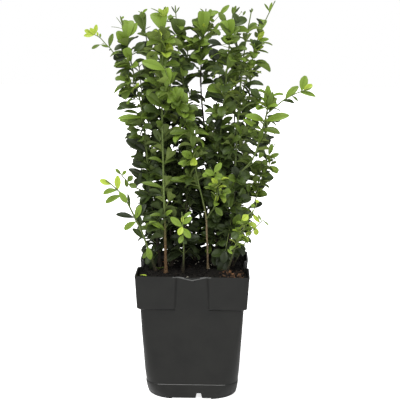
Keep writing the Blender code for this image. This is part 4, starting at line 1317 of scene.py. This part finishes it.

# %% [markdown]
# ## Leaves that stand clear
# The outline of the plant and its sprays are made of leaves that are seen one by one: the
# buds and broad fans at the tips, arched leaves at the sides, long narrow ones on the sprays.
# Each was picked out one by one, and most of its numbers were then worked out through the camera
# and rounded. A row says how high on its limb the leaf grows, how long its stalk is, how far
# it leans from upright (to the right is positive) and toward the front, its length
# and width, how far its face is turned up from the front, its bend and its age.

# %% Leaves that stand clear
# Height, stalk, lean, toward, length, width, turn, bend, age; millimetres and degrees, but
# the bend is in radians
Placed = collections.namedtuple("Placed", "height stalk lean toward length width turn bend age")
STANDING = {
    "left": [
        (504, 0, 45, 0, 5, 3, 0, 0.3, 3), (493, 0, -35, -5, 17, 2, 60, 0.2, 2),
        (493, 0, -15, 0, 16, 3, 30, 0.2, 2), (491, 0, -80, 0, 17, 2, 80, 0.3, 2),
        (475, 0, 5, -10, 28, 17, 0, 1.0, 3), (475, 7, 30, 0, 21, 11, 10, 0.3, 3),
        (470, 0, -35, 30, 26, 15, 15, 0.8, 3), (468, 0, -105, 25, 19, 10, 40, 1.2, 0.5),
        (457, 0, -100, -10, 23, 14, 10, 0.5, 0), (457, 7, 50, 0, 19, 11, 10, 0.4, 1),
        (450, 7, -30, 0, 15, 11, 15, 0.4, 1), (448, 0, -15, 35, 25, 12, 0, 0.7, 3),
        (447, 0, -105, 15, 22, 10, 30, 0.9, 2), (439, 0, -85, 15, 23, 7, 40, 0.9, 2),
        (438, 0, -105, 10, 23, 7, 45, 1.0, 1.5), (420, 0, -115, 5, 32, 9, 40, 1.5, 2),
        (410, 0, -85, -5, 18, 11, 10, 0.5, 0), (404, 0, -90, 0, 28, 11, 15, 0.9, 0),
        (399, 9, -60, 0, 20, 11, 15, 0.4, 1), (396, 0, -110, 0, 34, 4, 55, 0.6, 1),
        (394, 5, -105, 0, 28, 9, 20, 0.8, 1), (387, 5, -80, 0, 26, 11, 15, 0.7, 1),
        (378, 4, -80, 0, 22, 7, 40, 0.9, 2), (374, 0, -90, 15, 35, 8, 30, 0.9, 3),
        (374, 0, -110, -15, 28, 11, 10, 0.4, 3), (374, 4, -95, 0, 28, 12, 10, 0.5, 3),
        (370, 0, -95, 15, 23, 8, 20, 0.8, 2), (366, 4, -90, 0, 20, 9, 10, 0.5, 2),
        (346, 0, -85, 20, 24, 10, 45, 0.8, 2), (328, 0, -60, -5, 33, 15, 20, 0.5, 0),
        (306, 0, -75, 0, 23, 11, 20, 0.7, 0), (288, 0, -60, 0, 33, 11, 30, 0.9, 0),
        (264, 0, -70, 0, 26, 10, 20, 0.5, 1), (255, 0, -65, 0, 18, 10, 10, 0.4, 0),
    ],
    "left_inner": [
        (511, 0, 50, 0, 10, 4, 20, 0.3, 3), (511, 0, -55, 0, 6, 3, 60, 0.3, 3),
        (495, 9, -10, 0, 10, 8, 10, 0.3, 2), (490, 0, 60, 0, 9, 3, 70, 0.4, 1),
        (483, 4, -20, -15, 26, 18, 0, 0.9, 1.5), (483, 0, 140, 30, 17, 7, 40, 0.9, 3),
        (460, 0, -35, -15, 18, 12, 20, 0.6, 0), (456, 0, -55, -15, 20, 11, 15, 0.7, 1),
    ],
    "front_left": [
        (512, 0, 15, 0, 9, 3, 20, 0.2, 3), (508, 0, -60, 0, 20, 3, 60, 0.5, 2),
        (506, 0, -30, -10, 14, 6, 0, 0.5, 3.5), (506, 0, 0, 20, 12, 6, 0, 0.5, 3.5),
        (506, 0, 20, 0, 15, 6, 0, 0.5, 3.5), (488, 0, -15, -15, 27, 23, 0, 0.9, 3),
        (471, 0, -40, -20, 25, 15, 0, 0.7, 3), (462, 0, 40, 10, 31, 8, 55, 1.1, 3),
        (460, 0, -65, 0, 13, 3, 75, 0.4, 0), (439, 0, 10, -20, 22, 12, 0, 0.8, 2),
        (423, 0, -80, 25, 25, 9, 35, 0.8, 3), (403, 0, -55, -40, 19, 11, 0, 0.6, 0),
        (401, 0, 55, 30, 15, 7, 30, 0.6, 3), (394, 0, -50, 25, 29, 14, 10, 0.7, 2),
        (368, 0, -50, 50, 16, 8, 20, 0.6, 2), (317, 0, -65, 25, 23, 7, 50, 1.4, 2),
        (285, 0, -75, 10, 31, 7, 35, 0.6, 2), (247, 0, 50, 30, 17, 7, 30, 0.7, 3),
        (245, 0, -80, 25, 22, 6, 50, 1.5, 2), (227, 0, -55, 25, 28, 8, 35, 1.1, 3),
    ],
    "middle": [
        (512, 0, -5, 0, 10, 2, 0, 0.2, 2), (512, 0, 30, 0, 10, 2, 0, 0.2, 2),
        (511, 0, -30, 0, 12, 2, 0, 0.3, 1), (508, 0, -115, 0, 13, 4, 40, 1.2, 2),
        (494, 0, -35, -10, 19, 7, 0, 0.6, 2.5), (483, 0, 5, 20, 24, 20, 0, 0.9, 1.5),
        (483, 0, 125, 15, 27, 9, 50, 1.3, 3), (464, 0, 50, -20, 16, 11, 20, 0.8, 2),
        (453, 0, -60, -25, 19, 11, 15, 0.7, 1.5), (443, 0, 60, 0, 15, 10, 25, 0.9, 1.5),
        (433, 0, -65, -15, 16, 11, 20, 0.8, 1), (424, 31, 60, 0, 20, 8, 20, 0.5, 1),
        (375, 34, 45, 0, 24, 12, 0, 0.5, 1),
    ],
    "slender": [
        (512, 0, -50, 0, 10, 2, 20, 0.4, 2), (506, 0, 65, -10, 20, 9, 30, 0.7, 3),
        (496, 0, 30, -5, 23, 11, 0, 0.7, 3), (490, 28, 45, 0, 19, 7, 10, 0.3, 3),
        (488, 0, 25, 25, 13, 4, 20, 0.4, 4), (488, 12, 5, 60, 11, 5, 30, 0.4, 4),
        (483, 0, 0, 10, 33, 17, 0, 0.9, 3), (477, 0, -20, -5, 31, 13, 0, 0.7, 1.5),
        (477, 10, 65, 5, 16, 3, 75, 0.5, 3), (475, 0, 55, 10, 14, 8, 30, 0.8, 2.5),
        (474, 0, -50, 0, 32, 3, 60, 1.0, 1), (472, 13, 10, 0, 8, 5, 10, 0.3, 3),
        (469, 34, 20, 5, 5, 7, 0, 0.4, 3), (469, 0, -55, -25, 20, 11, 15, 0.8, 2),
        (468, 0, -35, 20, 13, 11, 10, 0.8, 2), (465, 0, 45, -20, 18, 10, 20, 0.8, 2),
        (461, 27, 30, 5, 19, 5, 10, 0.3, 3), (456, 0, -35, 15, 15, 12, 10, 0.8, 1.5),
        (449, 0, -70, -20, 18, 11, 20, 0.8, 1.5), (437, 0, 60, -15, 17, 11, 20, 0.8, 1),
        (391, 0, 125, 0, 21, 7, 35, 0.9, 1), (386, 0, -75, 0, 16, 4, 50, 0.5, 1),
        (378, 0, 110, 0, 19, 4, 60, 1.0, 0), (373, 0, -45, 0, 14, 11, 20, 0.8, 1),
        (367, 0, 115, -5, 20, 9, 30, 1.0, 0), (365, 0, -105, 5, 17, 9, 30, 1.0, 0),
        (350, 0, 50, 15, 18, 11, 20, 0.8, 1), (345, 0, -55, 15, 15, 12, 20, 0.8, 1),
        (336, 0, 55, 20, 18, 12, 20, 0.8, 1),
    ],
    "right_inner": [
        (514, 0, 150, 0, 14, 8, 0, 0.3, 1), (511, 0, 20, 0, 12, 4, 0, 0.3, 2),
        (510, 0, 0, 0, 11, 4, 0, 0.3, 2), (510, 0, 40, 0, 14, 3, 0, 0.3, 1),
        (502, 18, 45, -20, 1, 3, 0, 0.2, 2), (496, 0, 65, -15, 23, 13, 15, 0.9, 1),
        (494, 14, -100, 15, 12, 3, 80, 0.5, 3), (491, 10, -35, 0, 18, 9, 10, 0.3, 2),
        (486, 0, 55, 20, 16, 10, 20, 0.9, 2), (482, 32, 30, -5, 7, 3, 0, 0.2, 2),
        (482, 0, -10, 10, 23, 20, 0, 0.9, 3), (475, 11, -105, -10, 20, 5, 45, 0.7, 0),
        (473, 0, 60, 20, 17, 10, 25, 0.9, 2), (472, 0, -50, 15, 15, 9, 25, 0.9, 2),
        (469, 9, -75, 0, 20, 9, 20, 0.8, 0), (461, 0, 70, 20, 17, 10, 25, 0.9, 1.5),
        (458, 0, -70, 15, 13, 10, 20, 0.9, 1.5), (453, 0, -40, -25, 19, 10, 10, 0.7, 1.5),
        (445, 0, -55, -20, 19, 10, 10, 0.7, 1), (441, 0, 25, 20, 22, 13, 0, 0.7, 2),
        (434, 21, -30, 5, 17, 10, 0, 0.3, 0), (434, 0, -70, 0, 26, 12, 10, 0.5, 1),
        (432, 0, 65, -15, 17, 9, 20, 0.8, 2), (418, 0, -60, -20, 19, 11, 10, 0.6, 1),
        (418, 0, 70, 0, 15, 9, 20, 0.7, 1.5), (413, 39, -20, -10, 18, 12, 0, 0.5, 0),
        (413, 0, -65, -15, 17, 10, 20, 0.7, 1), (402, 0, -70, 0, 23, 9, 20, 0.5, 1),
        (398, 0, -65, -10, 20, 12, 10, 0.6, 0), (385, 0, -75, -25, 15, 9, 10, 0.5, 1),
        (380, 0, 45, 15, 26, 15, 10, 0.7, 1.5), (375, 0, -150, 0, 15, 11, 20, 0.8, 0),
        (364, 0, 50, 15, 21, 11, 30, 1.2, 1.5), (225, 25, 160, 50, 12, 13, 10, 0.4, 1),
    ],
    "right_middle": [
        (513, 0, -20, 0, 5, 2, 0, 0.1, 1), (513, 0, 25, 0, 6, 2, 0, 0.1, 2),
        (490, 0, 50, -15, 16, 9, 10, 0.5, 2),
    ],
    "right_outer": [
        (515, 0, -35, 0, 13, 3, 10, 0.3, 2), (513, 0, 15, 0, 15, 4, 0, 0.2, 3),
        (498, 0, -50, 0, 13, 4, 10, 0.3, 0), (494, 0, -55, -15, 8, 3, 0, 0.3, 1),
        (490, 0, 10, -20, 16, 12, 0, 0.6, 3), (477, 0, 35, 15, 16, 7, 10, 0.4, 4),
        (475, 0, 75, 15, 17, 7, 25, 0.5, 3), (464, 0, 100, 0, 19, 5, 50, 0.5, 2),
        (463, 0, 15, 15, 16, 14, 0, 0.6, 1), (448, 0, 115, 10, 28, 15, 40, 1.6, 2),
        (435, 0, 110, 0, 14, 7, 30, 0.8, 1), (417, 0, 85, 10, 26, 10, 45, 1.4, 1),
    ],
    "right_spray_base": [
        (394, 12, -45, -5, 20, 9, 15, 0.5, 1), (390, 0, 0, 5, 32, 11, 0, 0.3, 3),
        (387, 0, 15, 15, 29, 8, 15, 0.4, 2), (382, 0, 110, -15, 21, 10, 10, 0.4, 1),
        (382, 26, 170, 5, 5, 13, 15, 0.6, 0), (381, 8, 30, 0, 11, 9, 10, 0.3, 2),
        (375, 0, 75, 15, 34, 12, 15, 0.8, 3), (375, 0, -75, 20, 29, 11, 20, 0.9, 3),
        (375, 8, -110, 15, 15, 12, 20, 0.8, 1), (363, 0, 100, 20, 25, 11, 30, 1.1, 2),
        (363, 0, -60, 20, 32, 8, 10, 0.6, 3), (343, 0, 15, 15, 25, 8, 20, 0.3, 2),
        (340, 0, 60, -15, 21, 12, 15, 0.4, 0), (309, 26, 50, 15, 9, 9, 35, 1.0, 2),
    ],
    "right_spray": [
        (417, 0, 55, 0, 14, 8, 0, 0.3, 4), (416, 0, 15, -10, 21, 11, 0, 0.4, 3),
        (415, 0, 105, 10, 22, 9, 30, 0.6, 3), (410, 0, 130, 0, 11, 4, 30, 0.4, 2),
        (405, 0, 45, 10, 24, 10, 15, 1.1, 3), (402, 0, 100, 0, 16, 7, 40, 1.0, 1),
    ],
    "right_low_spray": [
        (321, 0, 15, 0, 18, 7, 0, 0.2, 3), (317, 0, 65, 5, 18, 7, 10, 0.3, 3),
        (315, 0, -30, 5, 25, 8, 20, 0.4, 1), (312, 0, 70, 0, 12, 5, 30, 0.3, 2),
        (300, 0, 50, 0, 12, 7, 20, 0.6, 2), (300, 0, 95, 0, 12, 4, 30, 0.3, 1),
        (287, 0, 75, 0, 21, 10, 15, 0.6, 1), (280, 8, 0, 35, 12, 7, 10, 0.3, 2),
        (279, 0, 90, 0, 10, 4, 20, 0.2, 0), (270, 0, 90, 30, 16, 9, 30, 1.2, 2),
        (247, 25, 0, 15, 15, 7, 0, 0.3, 2),
    ],
    "low_right_front": [
        (263, 7, 20, -15, 5, 5, 0, 0.3, 4), (261, 10, -130, 20, 11, 9, 0, 0.3, 4),
        (255, 8, 5, 0, 6, 6, 0, 0.3, 3), (236, 12, -125, 25, 13, 11, 0, 0.5, 1),
        (222, 0, 70, 40, 6, 4, 40, 1.6, 4), (216, 0, 0, 25, 15, 6, 0, 0.3, 3),
        (213, 17, -135, 45, 5, 9, 0, 0.4, 3), (203, 14, 45, 55, 5, 5, 10, 0.2, 3),
    ],
    "right_rear": [
        (340, 7, 80, 0, 29, 14, 20, 0.4, 0), (297, 13, 60, 10, 19, 11, 20, 0.7, 2),
        (286, 0, 20, 0, 35, 16, 10, 0.3, 0), (275, 19, -5, 10, 8, 12, 20, 0.7, 1),
        (267, 14, 65, 10, 19, 12, 20, 0.7, 2), (263, 13, 85, 0, 25, 10, 30, 0.4, 2),
        (243, 17, 70, 10, 19, 8, 20, 0.3, 0), (241, 14, 95, 15, 9, 6, 20, 0.3, 0),
        (241, 14, 65, 0, 22, 8, 20, 0.4, 0), (225, 14, 90, 30, 9, 8, 10, 0.3, 0),
        (223, 0, 85, 0, 20, 8, 20, 0.3, 0),
    ],
    "right": [
        (249, 53, -170, 15, 18, 11, 0, 0.4, 0), (218, 19, 20, 40, 27, 12, 0, 0.5, 2),
    ],
    "low_right": [
        (240, 0, 130, 0, 11, 3, 30, 0.3, 3), (239, 0, -35, 0, 11, 3, 0, 0.4, 3),
        (236, 0, -40, 0, 15, 6, 0, 0.4, 4), (229, 0, 175, 0, 11, 8, 0, 0.3, 4),
        (221, 0, -110, 0, 9, 5, 0, 0.3, 4), (214, 0, 160, 0, 10, 3, 30, 0.4, 1),
    ],
    "front_fork": [
        (310, 0, 35, 0, 17, 8, 0, 0.4, 3), (307, 0, -60, 15, 15, 8, 0, 0.5, 3),
        (295, 0, -45, 25, 13, 7, 0, 0.4, 4), (289, 0, 75, 20, 12, 4, 40, 1.5, 4),
        (285, 0, -75, 10, 20, 6, 40, 0.9, 2), (267, 0, 10, 25, 15, 5, 0, 0.2, 4),
        (261, 0, 135, 15, 16, 8, 10, 0.5, 2),
    ],
    "front_middle": [
        (441, 0, -70, 10, 32, 13, 15, 0.8, 3), (424, 0, -15, 0, 20, 13, 0, 0.8, 3),
        (398, 0, -15, 0, 22, 12, 0, 0.9, 3), (380, 0, 30, -5, 16, 13, 0, 0.6, 3),
        (380, 0, -35, -10, 19, 10, 10, 0.6, 3), (376, 0, 125, 15, 17, 9, 25, 1.0, 1.5),
        (369, 0, 15, 20, 20, 10, 15, 0.7, 2), (362, 0, -95, 15, 27, 10, 25, 0.6, 2),
        (338, 0, 0, 10, 25, 8, 0, 0.4, 2), (328, 0, -180, 35, 13, 10, 0, 0.7, 4),
        (326, 0, -60, 25, 21, 11, 10, 0.5, 3), (320, 0, -90, 25, 24, 9, 15, 0.6, 3),
        (289, 12, -80, 15, 31, 10, 50, 1.0, 2),
    ],
    "low_front": [
        (249, 0, 55, -10, 15, 5, 20, 0.4, 3), (242, 0, 0, 10, 11, 4, 0, 0.3, 4),
        (241, 0, 50, 5, 16, 8, 0, 0.3, 3), (238, 0, -155, 25, 13, 8, 0, 0.3, 4),
        (237, 0, -50, 5, 21, 9, 0, 0.3, 3), (236, 0, 140, 15, 17, 9, 0, 0.3, 3),
        (226, 0, -155, 25, 13, 7, 0, 0.3, 3), (221, 0, 155, 15, 9, 5, 0, 0.3, 1),
    ],
    "low_left": [
        (292, 0, -70, 0, 17, 8, 0, 0.3, 4), (284, 0, 0, 0, 20, 9, 0, 0.3, 4),
        (284, 0, -105, 0, 20, 9, 30, 0.9, 3), (283, 0, 145, 5, 19, 9, 15, 0.6, 3),
        (277, 0, -115, 0, 25, 9, 25, 0.8, 3), (259, 0, -10, -5, 20, 4, 10, 0.3, 1),
        (245, 0, -80, 0, 26, 9, 30, 0.6, 0), (243, 0, 20, 0, 21, 9, 10, 0.4, 3),
        (241, 0, 30, -5, 26, 9, 15, 0.8, 0), (240, 0, -125, 0, 20, 9, 15, 0.9, 3),
        (229, 0, -15, -5, 23, 9, 20, 0.5, 1), (213, 0, -50, -10, 23, 9, 30, 0.4, 1),
        (204, 0, 165, 10, 19, 9, 10, 0.4, 3), (197, 0, -140, 10, 13, 6, 10, 0.4, 2),
    ],
    "small_left_spray": [
        (302, 0, -45, 0, 11, 5, 10, 0.3, 3), (301, 0, 45, 0, 9, 5, 10, 0.3, 3),
        (296, 0, 165, 0, 12, 6, 20, 0.5, 2), (291, 0, 40, 0, 11, 8, 10, 0.3, 2),
        (288, 0, 110, 10, 12, 8, 10, 0.3, 2), (281, 0, 20, 0, 22, 6, 20, 0.3, 0),
    ],
    "upper_left_spray": [
        (485, 0, -65, 0, 10, 6, 0, 0.2, 4), (483, 0, 10, 0, 14, 6, 0, 0.3, 4),
        (483, 0, -35, 0, 11, 6, 0, 0.3, 4), (483, 0, -95, 0, 15, 6, 0, 0.3, 4),
        (481, 0, -10, 0, 6, 3, 0, 0.3, 4), (479, 0, 0, 0, 6, 3, 0, 0.3, 3),
        (473, 6, -115, 0, 13, 5, 15, 0.6, 2), (467, 0, 15, 0, 19, 7, 10, 0.8, 2),
        (467, 0, -75, 0, 11, 4, 20, 0.3, 2), (465, 0, -125, 0, 3, 2, 0, 0.3, 0),
    ],
    # From here on, the leaves at the back and under the crown all get the darkest tone, which paints the
    # shade they stand in
    "left_rear": [
        (323, 0, -45, 0, 37, 16, 10, 0.5, 0), (300, 0, -60, 0, 23, 11, 10, 0.6, 0),
        (278, 6, -50, 0, 28, 11, 15, 0.5, 0), (264, 0, -85, 0, 19, 11, 10, 0.5, 0),
    ],
    "back_middle": [
        (203, 17, 10, 0, 9, 14, 0, 0.3, 0), (183, 9, 40, 0, 18, 14, 0, 0.3, 0),
        (176, 0, -25, 0, 19, 14, 0, 0.3, 0), (222, 12, -35, 0, 16, 13, 0, 0.3, 0),
        (214, 10, 60, 0, 17, 13, 0, 0.3, 0), (204, 9, -65, 0, 16, 13, 0, 0.3, 0),
        (194, 8, 75, 0, 16, 13, 0, 0.3, 0), (172, 6, 58, 0, 21, 14, 0, 0.3, 0),
        (173, 21, 5, 0, 8, 14, 0, 0.3, 0), (171, 9, 20, 0, 10, 14, 0, 0.3, 0),
        (166, 11, -35, 0, 15, 14, 0, 0.3, 0),
    ],
    "back_left": [
        (182, 9, 25, 0, 15, 11, 0, 0.3, 0), (175, 0, 10, 0, 17, 14, 0, 0.3, 0),
    ],
    "back_right": [
        (197, 0, -45, 0, 16, 12, 0, 0.3, 0), (178, 8, -20, 0, 10, 12, 0, 0.3, 0),
        (168, 14, -45, 0, 18, 14, 0, 0.3, 0),
    ],
}

FRONT = np.array([0.0, -0.985, 0.174])
placed_rng = np.random.default_rng(5)
LEAST_BEND = 0.1
BLUNT_BEND = 0.6  # a leaf seen full on is a blunt fan if it bends back by this much


def placed_leaf(row, path):
    """A leaf, and its stalk if it has one. The chord runs from its foot to its tip. The
    blade's middle faces between the front and straight up across the chord, as far as the
    turn says. An arched blade is longer than its chord: by half the bend over its sine."""
    lean, toward, turn = (math.radians(v) for v in (row.lean, row.toward, row.turn))
    level = math.cos(toward)
    chord = np.array([math.sin(lean) * level, -math.sin(toward), math.cos(lean) * level])
    start = at_height(path, row.height * MM)
    foot = start + chord * row.stalk * MM
    facing = unit(FRONT - chord * np.dot(FRONT, chord))
    above = np.cross(chord, facing)
    above = above if above[2] > 0 else -above
    middle = facing * math.cos(turn) + above * math.sin(turn)
    bend = max(row.bend, LEAST_BEND)
    half = bend / 2
    along = chord * math.cos(half) + middle * math.sin(half)
    up = middle * math.cos(half) - chord * math.sin(half)
    blunt = 0.95 if row.turn == 0 and bend >= BLUNT_BEND else 0.1
    length = row.length * MM * half / math.sin(half)
    fold, twist = placed_rng.uniform(0.22, 0.42), placed_rng.normal(0, 0.1)
    leaf = Leaf(foot, along, up, length, row.width * MM, bend, fold, twist, row.age, blunt)
    t = np.linspace(0.0, 1.0, TWIG_RINGS)[:, None]
    sag = np.array([0.0, 0.0, 0.2 * row.stalk * MM])
    stalk = Twig(start + (foot - start) * t - sag * t * (1.0 - t), 0.5 * MM, 0.3 * MM, 1.0)
    return leaf, stalk


def placed_leaves(name, low, high):
    """The placed leaves of one mass, with the stalks that they need."""
    leaves, twigs = [], []
    for row in STANDING.get(name, ()):
        row = Placed(*row)
        if low <= row.height < high:
            leaf, stalk = placed_leaf(row, paths[name])
            leaves.append(leaf)
            if row.stalk:
                twigs.append(stalk)
    return leaves, twigs


print("leaves placed one by one:", sum(len(rows) for rows in STANDING.values()))

# %% [markdown]
# ## Loose leaves
# One yellowed leaf has dropped on the compost by the left wall, and a seedling with a few
# small leaves stands in front of the left stems. They use the same leaf, lying or upright.

# %% Loose leaves
LYING = (("fallen_leaf", (-71, -41), (0.78, -0.62, 0.12), 12, 6.5, 4.0),)
LOOSE_LIFT = 0.0015
LOOSE_BEND, LOOSE_FOLD, LOOSE_TWIST, LOOSE_BLUNT = 0.4, 0.25, 0.1, 0.2
SEEDLING = (
    ((-47, -22), (-0.55, -0.35, 0.75), 8, 4.5, 3.0), ((-46, -21), (0.55, -0.45, 0.60), 8, 4.5, 2.5),
    ((-46, -20), (0.05, -0.60, 0.50), 7, 4.0, 3.5), ((-48, -21), (-0.70, 0.10, 0.30), 6, 3.5, 2.0),
)


def loose_leaf(place, heading, length, width, age):
    """A leaf on the compost, its upper side up, with its foot at a place in millimetres."""
    x, y = place[0] * MM, place[1] * MM
    along = unit(np.array(heading))
    up = unit(np.array([0.0, 0.0, 1.0]) - along * along[2])
    foot = np.array([x, y, soil_height(x, y) + LOOSE_LIFT])
    size = (length * MM, width * MM)
    return Leaf(foot, along, up, *size, LOOSE_BEND, LOOSE_FOLD, LOOSE_TWIST, age, LOOSE_BLUNT)


for name, *row in LYING:
    make_leaves(name, [loose_leaf(*row)])
make_leaves("seedling", [loose_leaf(*row) for row in SEEDLING])

# %% [markdown]
# ## All leaves and twigs
# For every mass the rule grows what fills it, and the placed leaves are added.

# %% All leaves and twigs
total_leaves = 0
for name, limb in limbs.items():
    bounds = [0.0] + [high for low, high in limb.leaves[:-1]] + [1000.0]
    for part, (low, high) in enumerate(limb.leaves):
        label = name if len(limb.leaves) == 1 else name + ("_lower", "_upper")[part]
        leaves, twigs = placed_leaves(name, bounds[part], bounds[part + 1])
        if limb.leaf:
            to_tip = part == len(limb.leaves) - 1 and name != "right"
            more, stalks = grow_shoot(limb, paths[name], low * MM, high * MM, to_tip)
            leaves, twigs = leaves + more, twigs + stalks
        make_leaves(f"leaves_{label}", leaves, [f"foliage_{label}"])
        if twigs:
            make_twigs(f"twigs_{label}", twigs)
        total_leaves += len(leaves)
meshes = [o.data for o in scene.objects if o.type == "MESH"]
print("leaves:", total_leaves, "triangles:", sum(len(mesh.loop_triangles) for mesh in meshes))
